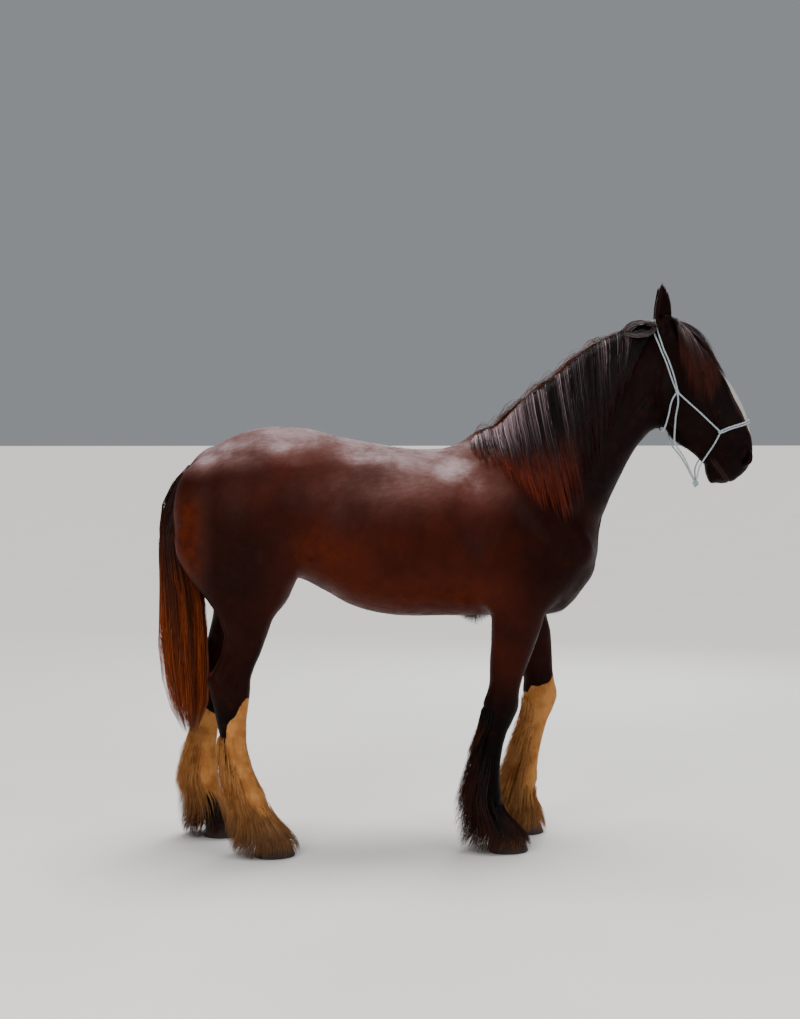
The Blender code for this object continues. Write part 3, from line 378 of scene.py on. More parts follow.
def joined(first, second, blend):
    """The smooth union of two fields."""
    near = np.maximum(blend - np.abs(first - second), 0.0) / blend
    return np.minimum(first, second) - near * near * blend / 4.0


def combined(shapes, points):
    """The field of shapes that are joined smoothly, at points."""
    value = np.full(len(points), FAR)
    for shape in shapes:
        low, high = shape.reach(shape.blend + 0.03)
        near = np.flatnonzero(((points >= low) & (points <= high)).all(axis=1))
        if len(near):
            value[near] = joined(value[near], shape.distance(points[near]), shape.blend)
    return value


# ---------------------------------------------------------------- the body's masses
def limb_stations(line, profile):
    """Puts a limb's profile on its centre line, as loft stations up the Z axis."""
    z, front, back, half = np.array(profile).T
    x = columns_at(line, z)[0]
    return in_columns(len(z), z, x + front, x - back, half, x + (front - back) / 2, 2.2, 2.2)


def limb_at(points):
    """The number of each point's limb, and the x and y of that limb's centre line."""
    x, y, z = points.T
    number = 2 * (x <= -0.3) + (y > 0.0)
    line_x = np.choose(number, [np.interp(z, *np.array(line).T) for _, line in LIMBS.values()])
    return number, line_x, np.choose(number, [side_y for side_y, _ in LIMBS.values()])


def profile_of(name):
    return FORE_PROFILE if name.startswith("fore") else HIND_PROFILE


def muscles(side):
    """Muscle masses of one side: side is -1 on the right and +1 on the left."""
    back = 0.0 if side < 0 else LEFT_HIND
    fore = 0.0 if side < 0 else LEFT_FORE
    lean = ((1, 0, 0.25), (0, 1, 0), (-0.25, 0, 1))
    slope = ((1, 0, 0.35), (0, 1, 0), (-0.35, 0, 1))
    head_axes = (HEAD_AXIS, HEAD_UP, SIDEWAYS)
    return [
        Ball((-0.80 + back, side * 0.150, 1.20), (0.205, 0.128, 0.30), 0.045, lean),
        Ball((-0.955, side * 0.115, 1.29), (0.118, 0.115, 0.20), 0.035),
        Capsule((-0.965 + back * 0.3, side * 0.135, 1.16), (-0.843 + back * 0.6, side * 0.165, 0.90),
                0.100, 0.056, 0.035),
        Capsule((-0.715 + back, side * 0.185, 1.10), (-0.79 + back, side * 0.175, 0.88),
                0.098, 0.058, 0.040),
        Capsule((0.14, side * 0.095, 1.44), (0.40 + fore / 2, side * 0.150, 1.17), 0.060, 0.082, 0.045),
        Ball((0.22 + fore / 2, side * 0.165, 1.06), (0.17, 0.075, 0.155), 0.035, slope),
        Capsule((0.435 + fore / 2, side * 0.15, 1.14), (0.235 + fore, side * 0.150, 0.91),
                0.085, 0.075, 0.035),
        Ball((0.435, side * 0.085, 1.105), (0.105, 0.10, 0.125), 0.030),
        Ball(head_point(0.285, -0.075, side * 0.050), (0.125, 0.095, 0.036), 0.022, head_axes),
        Ball(head_point(0.200, 0.062, side * 0.078), (0.050, 0.030, 0.026), 0.018, head_axes),
        Capsule(head_point(0.290, 0.008, side * 0.076), head_point(0.410, -0.002, side * 0.058),
                0.014, 0.010, 0.014),
        Ball(head_point(0.588, 0.029, side * 0.036), (0.040, 0.034, 0.024), 0.016, head_axes),
    ]


def ear_frame(side):
    place, axis, forward = EARS[side]
    axis = unit(axis)
    forward = np.array(forward)
    forward = unit(forward - axis * (forward @ axis))
    return head_point(*place), axis, forward, np.cross(axis, forward)


def body_shapes():
    shapes = [
        Loft((0, 0, 0), (1, 0, 0), (0, 0, 1), TRUNK, 0.040),
        Loft(NECK_ROOT, NECK_AXIS, NECK_UP, NECK, 0.050),
        Loft(POLL, HEAD_AXIS, HEAD_UP, HEAD, 0.035),
    ]
    for name, (y, line) in LIMBS.items():
        stations = limb_stations(line, profile_of(name))
        shapes.append(Loft((0, y, 0), (0, 0, 1), (1, 0, 0), stations, 0.040))
    shapes.append(Ball(THROAT, THROAT_RADII, 0.035))
    for side in SIDES.values():
        base, axis = ear_frame(side)[:2]
        shapes.append(Capsule(base - axis * 0.03, base + axis * 0.016, 0.038, 0.027, 0.030))
    shapes.append(Capsule((-0.930, 0.0, 1.490), (-1.020, 0.0, 1.420), 0.040, 0.030, 0.030))
    shapes.append(Capsule((-1.020, 0.0, 1.420), (-1.070, 0.0, 1.160), 0.030, 0.018, 0.020))
    return shapes + [mass for side in SIDES.values() for mass in muscles(side)]


def eye_centre(side):
    return head_point(0.226, 0.0375, side * 0.0820)


def eye_distance(points):
    """How far points are from the nearer eye."""
    return np.minimum(*(np.linalg.norm(points - eye_centre(side), axis=1) for side in SIDES.values()))


def eye_axes(side):
    """An eye's own directions: to its front corner, to its upper lid, and outwards."""
    outward = unit(SIDEWAYS * side + HEAD_UP * 0.30 + HEAD_AXIS * 0.06)
    front = HEAD_AXIS * math.cos(0.36) + HEAD_UP * math.sin(0.36)
    front = unit(front - outward * (front @ outward))
    upper = unit(np.cross(outward, front)) * side
    return front, upper, outward


# the hollows that join into one comma-shaped nostril: the head's places, and radii
NOSTRIL = [
    ((0.602, 0.016, 0.060), (0.0085, 0.0125, 0.022)),
    ((0.598, 0.027, 0.059), (0.0082, 0.0125, 0.020)),
    ((0.590, 0.038, 0.057), (0.0066, 0.0120, 0.016)),
    ((0.580, 0.047, 0.055), (0.0048, 0.0100, 0.012)),
]


def face_shapes():
    """The lids over the eyeballs, and the hollows of the nostrils."""
    shapes = []
    for side in SIDES.values():
        shapes.append(Ball(eye_centre(side), (EYE_RADIUS + 0.0026,) * 3, 0.012))
        slant = (HEAD_AXIS + HEAD_UP * 0.5, HEAD_UP - HEAD_AXIS * 0.5, SIDEWAYS)
        for place, radii in NOSTRIL:
            centre = head_point(place[0], place[1], side * place[2])
            shapes.append(Ball(centre, radii, 0.007, slant, hollow=True))
    return shapes


BODY = body_shapes()
FACE = face_shapes()


def head_share(points):
    """1 on the head and 0 on the rest, eased across the throat."""
    return ramp(points[:, 0], 0.735, 0.800) * (points[:, 2] > 1.30)


def neck_share(points):
    along = (points - NECK_ROOT) @ NECK_AXIS
    return ramp(along, -0.13, 0.05) * (1.0 - head_share(points)) * (points[:, 2] > 1.05)


def limb_share(points):
    return ramp(points[:, 2], 0.98, 0.80)


def coat_depth(points):
    head, limb = head_share(points), limb_share(points)
    return COAT_DEPTH + head * (FACE_DEPTH - COAT_DEPTH) + limb * (LIMB_DEPTH - COAT_DEPTH)


def body_field(points):
    """The skin's field without the lids and the nostrils."""
    return combined(BODY, points) + coat_depth(points)


def skin_field(points):
    """Below zero inside the skin."""
    value = body_field(points)
    face = np.flatnonzero(points[:, 0] > 0.70)
    if len(face):
        part = value[face]
        for shape in FACE:
            distance = shape.distance(points[face])
            if shape.hollow:
                part = -joined(-part, distance, shape.blend)
            else:
                part = joined(part, distance, shape.blend)
        value[face] = part
    return value


def field_slope(points, field=skin_field):
    slope = np.empty_like(points)
    for axis in range(3):
        step = np.zeros(3)
        step[axis] = SLOPE_STEP
        slope[:, axis] = (field(points + step) - field(points - step)) / (2.0 * SLOPE_STEP)
    return slope


def settled(points, passes=3):
    """Moves points onto the skin along its slope."""
    for _ in range(passes):
        slope = field_slope(points)
        steep = np.maximum((slope * slope).sum(axis=1), 0.05)
        move = np.clip(skin_field(points) / steep, -0.006, 0.006)
        points = points - slope * move[:, None]
    return points


def marched(points, direction, clearance, steps=26, stride=0.06):
    """Moves points along a direction until they lie a clearance above the skin."""
    moved = points.reshape(-1, 3).copy()
    for _ in range(steps):
        gap = body_field(moved) - np.ravel(clearance)
        moved += direction * np.clip(gap * 0.8, -0.02, stride)[:, None]
    return moved.reshape(points.shape)


def kept_out(points, clearance, passes=4):
    """Pushes points out until they lie a clearance above the skin."""
    moved = points.reshape(-1, 3).copy()
    for _ in range(passes):
        gap = body_field(moved) - np.ravel(clearance)
        low = np.flatnonzero(gap < 0.0)
        slope = unit(field_slope(moved[low], body_field))
        moved[low] -= slope * gap[low, None]
    return moved.reshape(points.shape)


# ---------------------------------------------------------------- relief on the skin
def body_relief(side):
    """Ridges (+) and hollows (-) of one side: start, end, radius, height."""
    back = 0.0 if side < 0 else LEFT_HIND
    fore = 0.0 if side < 0 else 0.030

    def at(x, y, z):
        return (x, side * y, z)

    return [
        (at(0.150, 0.19, 1.46), at(0.340 + fore / 2, 0.23, 1.20), 0.030, 0.0040),     # shoulder blade
        (at(0.060, 0.24, 1.46), at(0.100 + fore / 2, 0.27, 1.12), 0.030, -0.0060),    # behind it
        (at(0.445 + fore / 2, 0.21, 1.15), at(0.430 + fore / 2, 0.22, 1.12), 0.034, 0.0030),
        (at(0.300 + fore / 2, 0.25, 1.14), at(0.160 + fore / 2, 0.25, 1.02), 0.026, -0.0045),
        (at(0.120 + fore, 0.22, 0.945), at(0.170 + fore, 0.20, 0.900), 0.018, -0.0060),  # elbow
        (at(0.260 + fore, 0.21, 0.93), at(0.235 + fore, 0.19, 0.74), 0.022, 0.0040),  # forearm
        (at(-0.610, 0.225, 1.450), at(-0.590, 0.240, 1.400), 0.050, 0.0075),          # point of hip
        (at(-0.500, 0.26, 1.36), at(-0.530, 0.27, 1.24), 0.060, -0.0090),             # flank
        (at(-0.650 + back, 0.25, 0.99), at(-0.540, 0.25, 1.12), 0.026, 0.0070),       # stifle fold
        (at(-0.900, 0.13, 1.42), at(-0.880 + back / 2, 0.245, 1.02), 0.020, -0.0055),  # ham
        (at(-0.800 + back, 0.27, 1.15), at(-0.830 + back, 0.23, 0.80), 0.020, -0.0035),
        (at(-0.905, 0.0, 1.56), at(-0.600, 0.0, 1.62), 0.022, -0.0040),
        (at(-0.340, 0.22, 1.50), at(0.020, 0.22, 1.50), 0.050, 0.0030),
        (at(0.560, 0.075, 1.52), at(0.730, 0.080, 1.72), 0.014, -0.0060),             # throat groove
        (at(0.480, 0.120, 1.60), at(0.690, 0.095, 1.86), 0.030, 0.0035),
        (at(0.455, 0.025, 1.02), at(0.530, 0.012, 1.20), 0.020, -0.0050),             # breast groove
        (at(0.330 + fore, 0.13, 0.97), at(0.440, 0.14, 1.02), 0.018, -0.0060),        # arm and breast
        (at(-0.300, 0.22, 0.955), at(0.000, 0.225, 0.955), 0.0045, 0.0024),           # vein
        (at(-0.835 + back, 0.205, 0.86), at(-0.860 + back, 0.185, 0.70), 0.005, 0.0020),
    ]


def limb_relief(name):
    """Tendons, and the bones of knee, hock and fetlock."""
    y, line = LIMBS[name]
    line = np.array(line)
    fore = name.startswith("fore")
    ridges = []

    def at(z, ahead, side):
        x = float(np.interp(z, line[:, 0], line[:, 1]))
        return (x + ahead, y + side, z)

    for side in (-1.0, 1.0):
        ridges.append((at(0.44, -0.006, side * 0.040), at(0.28, -0.006, side * 0.040), 0.0075, -0.0050))
        ridges.append((at(0.43, -0.036, side * 0.022), at(0.27, -0.040, side * 0.022), 0.008, -0.0022))
        joint = 0.555 if fore else 0.600
        ridges.append((at(joint + 0.025, 0.020, side * 0.055), at(joint + 0.01, 0.015, side * 0.055),
                       0.016, 0.0030))
        ridges.append((at(joint - 0.035, 0.015, side * 0.050), at(joint - 0.045, 0.010, side * 0.050),
                       0.015, 0.0028))
        ridges.append((at(0.225, -0.020, side * 0.052), at(0.205, -0.022, side * 0.052), 0.014, 0.0022))
    if fore:
        ridges.append((at(0.57, 0.060, 0.0), at(0.54, 0.060, 0.0), 0.022, 0.0030))
        ridges.append((at(0.585, -0.070, 0.0), at(0.570, -0.070, 0.0), 0.018, 0.0040))
    else:
        ridges.append((at(0.680, -0.085, 0.0), at(0.650, -0.088, 0.0), 0.016, 0.0050))
        for side in (-1.0, 1.0):
            ridges.append((at(0.78, -0.040, side * 0.045), at(0.68, -0.052, side * 0.036),
                           0.013, -0.0070))
    return ridges


def face_relief(side):
    """Bones, veins, lips and folds of one side of the head, in the head's own places."""
    rows = [
        ((0.300, 0.010, 0.080), (0.420, -0.002, 0.062), 0.0065, 0.0034),    # facial crest
        ((0.305, -0.012, 0.082), (0.415, -0.022, 0.062), 0.009, -0.0022),
        ((0.160, 0.052, 0.084), (0.178, 0.060, 0.084), 0.0150, -0.0065),    # over the eye
        ((0.182, 0.078, 0.072), (0.240, 0.082, 0.070), 0.0090, 0.0035),     # brow
        ((0.170, 0.022, 0.094), (0.262, 0.008, 0.092), 0.0085, 0.0026),     # arch under the eye
        ((0.120, -0.020, 0.082), (0.190, -0.030, 0.092), 0.0180, -0.0030),
        ((0.385, -0.050, 0.060), (0.355, -0.160, 0.042), 0.0100, -0.0030),  # edge of the cheek
        ((0.200, -0.140, 0.062), (0.330, -0.165, 0.050), 0.0090, 0.0024),   # edge of the jaw
        ((0.290, 0.099, 0.050), (0.500, 0.086, 0.036), 0.0070, 0.0022),     # nose bone
        ((0.320, 0.058, 0.070), (0.520, 0.048, 0.052), 0.0110, -0.0026),
        ((0.350, -0.060, 0.066), (0.390, 0.010, 0.066), 0.0026, 0.0015),    # veins
        ((0.390, 0.010, 0.066), (0.405, 0.050, 0.060), 0.0024, 0.0013),
        ((0.405, 0.050, 0.060), (0.300, 0.062, 0.072), 0.0020, 0.0010),
        ((0.390, 0.010, 0.066), (0.480, 0.030, 0.056), 0.0020, 0.0010),
        ((0.575, 0.060, 0.056), (0.558, 0.030, 0.060), 0.0060, 0.0026),     # rim of the nostril
        ((0.618, 0.033, 0.050), (0.620, 0.002, 0.050), 0.0060, 0.0034),
        ((0.596, 0.056, 0.046), (0.616, 0.040, 0.044), 0.0055, 0.0026),
        ((0.536, 0.010, 0.060), (0.548, -0.030, 0.060), 0.0040, -0.0016),
        ((0.610, -0.052, 0.044), (0.650, -0.045, 0.010), 0.0110, 0.0036),   # upper lip
        ((0.560, -0.100, 0.052), (0.626, -0.094, 0.034), 0.0090, 0.0030),   # lower lip
        ((0.585, -0.122, 0.018), (0.610, -0.118, 0.000), 0.0150, 0.0045),   # chin
        ((0.548, -0.118, 0.030), (0.540, -0.122, 0.000), 0.0090, -0.0030),
        ((0.532, -0.070, 0.062), (0.522, -0.095, 0.056), 0.0040, -0.0016),  # folds at the corner
        ((0.520, -0.066, 0.062), (0.511, -0.096, 0.056), 0.0040, -0.0010),
    ]
    return [(head_point(*start[:2], side * start[2]), head_point(*end[:2], side * end[2]), radius, height)
            for start, end, radius, height in rows]


def all_relief():
    ridges = [make(side) for make in (body_relief, face_relief) for side in SIDES.values()]
    ridges += [limb_relief(name) for name in LIMBS]
    return sum(ridges, [])


def relief(points):
    """How far the skin stands out of its field at each point."""
    height_here = np.zeros(len(points))
    for start, end, radius, height in all_relief():
        low = np.minimum(start, end) - 3.0 * radius
        high = np.maximum(start, end) + 3.0 * radius
        near = np.flatnonzero(((points >= low) & (points <= high)).all(axis=1))
        if len(near):
            height_here[near] += height * hump(segment_distance(points[near], start, end) / radius)
    return height_here + rib_relief(points) + mouth_relief(points)


def rib_relief(points):
    x, y, z = points.T
    here = ramp(x, -0.46, -0.36) * ramp(x, 0.06, -0.04) * ramp(z, 0.95, 1.05) * ramp(z, 1.46, 1.30)
    slanted = x - 0.18 * (z - 1.2)
    return here * (np.abs(y) > 0.15) * 0.0004 * np.sin(slanted * 2.0 * math.pi / 0.058)


MOUTH_LINE = [(0.532, -0.088), (0.560, -0.084), (0.600, -0.079), (0.636, -0.073), (0.660, -0.062)]
MOUTH_WIDTH = 0.0022
MOUTH_DEEP = 0.0060


def mouth_gap(places):
    """Distance of a place of the head from the line between the lips."""
    line = np.array(MOUTH_LINE)
    level = np.interp(places[:, 0], line[:, 0], line[:, 1])
    before = np.maximum(line[0, 0] - places[:, 0], 0.0)
    return np.hypot(places[:, 1] - level, before)


def mouth_relief(points):
    sunk = np.zeros(len(points))
    near = np.flatnonzero(points[:, 0] > 0.95)
    if len(near):
        places = head_places(points[near])
        groove = hump(mouth_gap(places) / MOUTH_WIDTH)
        sunk[near] = -MOUTH_DEEP * groove * ramp(places[:, 0], 0.520, 0.550)
    return sunk


LID_LONG = 0.0195            # half the length of the opening between the lids
LID_UPPER = 0.0108
LID_LOWER = 0.0078
LID_BEND = 2.1               # the power of the rims' curve


def lid_opening(points, side):
    """Distance from the rim of the lids, below zero in the opening, and the height outwards."""
    front, upper, outward = eye_axes(side)
    away = points - eye_centre(side)
    long, high, out = away @ front, away @ upper, away @ outward
    tall = np.where(high > 0.0, LID_UPPER, LID_LOWER)
    share = np.clip(np.abs(long) / LID_LONG, 0.0, 1.6)
    rim = tall * (1.0 - share ** LID_BEND)
    gap = np.abs(high) - rim
    return np.where(share < 1.0, gap, np.maximum(gap, np.hypot(high, np.abs(long) - LID_LONG))), out


def with_lids(points, slope):
    """Opens the lids over the eyeballs and folds the skin round them."""
    for side in SIDES.values():
        near = np.flatnonzero(np.linalg.norm(points - eye_centre(side), axis=1) < 0.045)
        gap, out = lid_opening(points[near], side)
        outward = eye_axes(side)[2]
        on_face = out > 0.0
        sunk = ramp(gap, 0.0008, -0.0016) * 0.0085
        rim = hump((gap - 0.0020) / 0.0014) * 0.0010
        fold = hump((gap - 0.0062) / 0.0012) * 0.0014
        second = hump((gap - 0.0105) / 0.0016) * 0.0008
        move = np.where(on_face, rim - sunk - fold - second, 0.0)
        direction = np.where((gap < 0.001)[:, None], outward, slope[near])
        points[near] += direction * move[:, None]
    return points


# ---------------------------------------------------------------- the skin's mesh
def steps_between(*stops):
    """A row of grid places from (place, grain) stops; the last stop ends it."""
    row = []
    for (low, grain), (high, _) in zip(stops, stops[1:]):
        count = max(1, round((high - low) / grain))
        row.append(np.linspace(low, high, count, endpoint=False))
    row.append([stops[-1][0]])
    return np.concatenate(row)


def grid_of_field(rows):
    """The skin's field on a grid whose rows are finer over the head."""
    value = np.full([len(row) for row in rows], FAR, np.float32)
    for shape in BODY:
        low, high = shape.reach(shape.blend + 0.02)
        part = tuple(slice(*np.searchsorted(row, (low[axis], high[axis])))
                     for axis, row in enumerate(rows))
        grid = np.meshgrid(*(row[cut] for row, cut in zip(rows, part)), indexing="ij")
        points = np.stack(grid, axis=-1).reshape(-1, 3)
        distance = shape.distance(points).reshape(grid[0].shape)
        value[part] = joined(value[part], distance, shape.blend)
    near = np.nonzero(np.abs(value) < 0.03)
    points = np.stack([row[index] for row, index in zip(rows, near)], axis=-1)
    value[near] = skin_field(points)
    return value


def surface_net(value, rows):
    """Vertices and quads of a grid's zero surface."""
    inside = value < 0.0
    size = value.shape
    corners = np.zeros([count - 1 for count in size], np.int8)
    for i, j, k in np.ndindex(2, 2, 2):
        corners += inside[i:size[0] - 1 + i, j:size[1] - 1 + j, k:size[2] - 1 + k]
    active = (corners > 0) & (corners < 8)
    number = np.full(active.shape, -1)
    cells = np.argwhere(active)
    number[active] = np.arange(len(cells))
    total, crossings = np.zeros((len(cells), 3)), np.zeros(len(cells))
    steps = np.eye(3, dtype=int)
    for axis in range(3):
        first, second = (steps[other] for other in range(3) if other != axis)
        for base in (0 * first, second, first, first + second):
            start = value[tuple((cells + base).T)]
            end = value[tuple((cells + base + steps[axis]).T)]
            crossed = (start < 0.0) != (end < 0.0)
            share = np.where(crossed, start / np.where(crossed, start - end, 1.0), 0.0)
            total += (base + share[:, None] * steps[axis]) * crossed[:, None]
            crossings += crossed
    places = cells + total / crossings[:, None]
    vertices = [np.interp(places[:, axis], np.arange(len(row)), row) for axis, row in enumerate(rows)]
    return np.stack(vertices, axis=1), net_quads(inside, number)


def net_quads(inside, number):
    """A quad of cells round each grid edge that crosses the surface, facing outwards."""
    steps = np.eye(3, dtype=int)
    quads = []
    for axis in range(3):
        first, second = (steps[other] for other in range(3) if other != axis)
        near = [slice(1, count - 1) for count in inside.shape]
        far = list(near)
        near[axis] = slice(0, inside.shape[axis] - 1)
        far[axis] = slice(1, inside.shape[axis])
        here, there = inside[tuple(near)], inside[tuple(far)]
        for leaving in (True, False):
            crossed = np.argwhere(here & ~there if leaving else ~here & there)
            cell = crossed + 1 - steps[axis]
            ring = [number[tuple((cell - back).T)] for back in (0 * first, first, first + second, second)]
            ring = np.stack(ring, axis=1)
            if leaving != (axis != 1):
                ring = ring[:, ::-1]
            quads.append(ring)
    return np.concatenate(quads)


def object_of(name, vertices, faces):
    """A smooth mesh object from arrays; faces is (count, corners)."""
    mesh = bpy.data.meshes.new(name)
    vertices = np.asarray(vertices, np.float32) - SHIFT.astype(np.float32)
    faces = np.asarray(faces, np.int32)
    mesh.vertices.add(len(vertices))
    mesh.vertices.foreach_set("co", vertices.ravel())
    mesh.loops.add(faces.size)
    mesh.loops.foreach_set("vertex_index", faces.ravel())
    mesh.polygons.add(len(faces))
    mesh.polygons.foreach_set("loop_start", np.arange(0, faces.size, faces.shape[1], dtype=np.int32))
    mesh.update(calc_edges=True)
    mesh.validate()
    mesh.shade_smooth()
    made = bpy.data.objects.new(name, mesh)
    bpy.context.scene.collection.objects.link(made)
    return made


def places_of(mesh):
    """A mesh's vertices in the tables' frame."""
    places = np.empty(len(mesh.vertices) * 3, np.float32)
    mesh.vertices.foreach_get("co", places)
    return places.reshape(-1, 3).astype(float) + SHIFT


def normals_of(mesh):
    normals = np.empty(len(mesh.vertices) * 3, np.float32)
    mesh.vertex_normals.foreach_get("vector", normals)
    return normals.reshape(-1, 3).astype(float)


def put_places(mesh, places):
    mesh.vertices.foreach_set("co", (places - SHIFT).astype(np.float32).ravel())
    mesh.update()


def needs_detail(points):
    """Which points lie at the lids, nostrils and lips, where the mesh is divided."""
    places = head_places(points)
    along, up, side = places.T
    nostrils = (along > 0.550) & (up > -0.02) & (up < 0.075) & (np.abs(side) > 0.022)
    lips = (mouth_gap(places) < 0.012) & (along > 0.515)
    return ((eye_distance(points) < 0.036) | nostrils | lips) & (points[:, 0] > 0.75)


def divide(mesh, chosen_at, times):
    for _ in range(times):
        work = bmesh.new()
        work.from_mesh(mesh)
        centres = np.array([face.calc_center_median() for face in work.faces]) + SHIFT
        chosen = chosen_at(centres)
        edges = {edge for face, wanted in zip(work.faces, chosen) if wanted for edge in face.edges}
        bmesh.ops.subdivide_edges(work, edges=list(edges), cuts=1, use_grid_fill=True)
        work.to_mesh(mesh)
        work.free()


def make_skin():
    """One closed skin over trunk, neck, head and limbs, with its relief."""
    half, head_half = 0.336, 0.112
    rows = (
        steps_between((-1.080, COARSE_GRAIN), (0.700, FINE_GRAIN), (1.200, 0)),
        steps_between((-half, COARSE_GRAIN), (-head_half, FINE_GRAIN), (head_half, COARSE_GRAIN), (half, 0)),
        steps_between((0.012, COARSE_GRAIN), (1.372, FINE_GRAIN), (2.100, 0)),
    )
    vertices, quads = surface_net(grid_of_field(rows), rows)
    skin = object_of("skin", vertices, quads)
    mesh = skin.data
    divide(mesh, needs_detail, 2)
    places = settled(places_of(mesh))
    slope = unit(field_slope(places))
    places = places + slope * relief(places)[:, None]
    places = with_lids(places, slope)
    put_places(mesh, places)
    return skin


# ---------------------------------------------------------------- markings and lie of the coat
def wobble(points, size):
    """An uneven edge, made of a few waves."""
    x, y, z = points.T
    waves = np.sin(61 * x + 3 + 17 * z) + np.sin(83 * y + 37 * x + 1) + np.sin(140 * y - 95 * x + 5)
    return size * waves / 3.0


BLAZE_SIDE = 0.012             # how far the blaze sits to the right of the middle
# how far down the head, and the blaze's half width there
BLAZE_SHAPE = [(0.06, 0.0), (0.12, 0.022), (0.22, 0.038), (0.34, 0.037), (0.42, 0.026), (0.50, 0.014),
               (0.54, 0.0)]


def stocking_edge(points, fore, left, ahead):
    """The height at which each limb's white ends."""
    return wobble(points, 0.016) + np.select(
        [fore & left, fore, left],
        [0.592 + 0.022 * ahead, 0.020 + 0.045 * ahead, 0.505 - 0.020 * ahead],
        0.525 + 0.060 * ahead - 0.05 * hump((ahead + 0.75) / 0.35),
    )


def markings(points):
    """Shares of white, black, rust and flesh colour at places on the skin."""
    x, y, z = points.T
    number, line_x, _ = limb_at(points)
    fore, left = number < 2, number % 2 == 1
    ahead = np.clip((x - line_x) / 0.05, -1.2, 1.2)
    edge = stocking_edge(points, fore, left, ahead)
    white = ramp(z, edge + 0.012, edge - 0.012)
    coronet = hump((x - 0.178) / 0.030, (z - 0.088) / 0.020) * (fore & (y < -FORE_Y))
    white = np.maximum(white, 0.50 * ramp(coronet, 0.30, 0.6))
    heel = left & ~fore & (z < 0.20) & (ahead < 0.2)
    white = white * (1.0 - 0.75 * heel * ramp(z + wobble(points, 0.03), 0.21, 0.15))

    places = head_places(points)
    along, up, side = places.T
    on_head = head_share(points) > 0.5
    blaze_half = np.interp(along, *np.array(BLAZE_SHAPE).T)
    off_blaze = np.abs(side + BLAZE_SIDE) - blaze_half
    nose = (up > 0.03) & (blaze_half > 0.001)
    blaze = ramp(off_blaze + wobble(points, 0.003), 0.003, -0.003) * nose
    snip = hump((along - 0.565) / 0.060, side / 0.024) * (up > -0.01)
    white = np.where(on_head, blaze, white)
    snip = np.where(on_head, ramp(snip + wobble(points, 0.20), 0.10, 0.95), 0.0)

    black = np.maximum(ramp(z, 0.80, 0.50), 0.94 * head_share(points) + 0.92 * neck_share(points))
    shoulder = ramp(x, 0.05, 0.35) * ramp(z, 1.50, 1.30)
    thigh = ramp(x, -0.60, -0.80) * ramp(z, 1.45, 1.25)
    black = np.maximum(black, 0.66 * np.maximum(shoulder, thigh) * (z < 1.6))
    buttock = ramp(x, -0.90, -1.00) * ramp(z, 1.42, 1.30) * ramp(z, 0.95, 1.10)
    black = black * (1.0 - buttock)

    belly = ramp(z, 1.10, 0.94) * ramp(z, 0.80, 0.90) * ramp(x, -0.70, -0.45) * ramp(x, 0.20, 0.05)
    flank = hump((x + 0.52) / 0.13, (z - 1.13) / 0.13)
    rust = np.maximum(np.clip(0.85 * belly + 0.8 * flank, 0.0, 1.0), buttock)
    lip = hump(mouth_gap(places) / 0.007) * ramp(along, 0.525, 0.56) * on_head
    near_blaze = ramp(off_blaze, 0.010, 0.006) * nose
    rust = np.where(on_head, np.maximum(lip, near_blaze), rust)
    return np.stack([white, black, rust, snip], axis=1)


NECK_FLOW = np.array((-0.45, 0.0, -0.90))
TRUNK_FLOW = np.array((-0.9, 0.0, -0.42))


def lie_of_coat(points, normals):
    """The way the short hair lies: to the muzzle, down the neck, back, and down the limbs."""
    head, neck, limb = head_share(points), neck_share(points), limb_share(points)
    trunk = np.clip(1.0 - head - neck - limb, 0.0, 1.0)
    flow = head[:, None] * HEAD_AXIS + limb[:, None] * DOWN
    flow = flow + neck[:, None] * NECK_FLOW + trunk[:, None] * TRUNK_FLOW
    flow = flow - normals * (flow * normals).sum(axis=1, keepdims=True)
    return unit(flow)


def set_colours(mesh, name, values):
    layer = mesh.attributes.new(name, "FLOAT_COLOR", "POINT")
    layer.data.foreach_set("color", np.asarray(values, np.float32).ravel())


# painted sheen of the overhead sun on upward-facing coat, with some real dust
DUST_SHEEN_SLOPES = (0.36, 0.98)       # of the normal's rise, where the sun's sheen begins and is full
DUST_SHEEN_MOST = 0.66                      # its full share
# patches of painted sheen, with some real dust, that make the coat paler on both sides: x, z, half length,
# half height, share
DUST_SHEEN_PATCHES = [
    (-0.020, 1.460, 0.090, 0.058, 0.95), (-0.335, 1.500, 0.130, 0.034, 0.85),
    (-0.230, 1.420, 0.330, 0.100, 0.30), (0.070, 1.410, 0.110, 0.090, 0.34),
    (-0.850, 1.540, 0.110, 0.034, 0.72), (-0.640, 1.540, 0.105, 0.042, 0.66),
]


def dust_sheen_share(points, normals):
    """Share of the violet-grey bloom, a painted sheen with some real dust, at places on the skin."""
    x, _, z = points.T
    share = DUST_SHEEN_MOST * ramp(normals[:, 2], *DUST_SHEEN_SLOPES) * ramp(x, 0.32, 0.12)
    for at_x, at_z, long, high, most in DUST_SHEEN_PATCHES:
        share = np.maximum(share, most * hump((x - at_x) / long, (z - at_z) / high))
    return share * (1.0 - head_share(points)) * (1.0 - neck_share(points))


def paint_skin(skin):
    """Gives the skin its two colour layers: the markings, and the parts with the share of painted sheen, with
    some dust, of the topline.
    """
    places = places_of(skin.data)
    set_colours(skin.data, "marks", markings(places))
    shares = [head_share(places), neck_share(places), limb_share(places),
              dust_sheen_share(places, normals_of(skin.data))]
    set_colours(skin.data, "region", np.stack(shares, axis=1))


# ---------------------------------------------------------------- strands
ROOT_DEEP = -0.002             # a root's clearance, which is under the skin


def planned(piece, number=0):
    """A piece's draws, how many strands it has, their width, and the seed of their tints."""
    count, width, draws, tints = STRANDS[piece]
    return np.random.default_rng(draws + number), int(count * DENSITY), width, tints + number


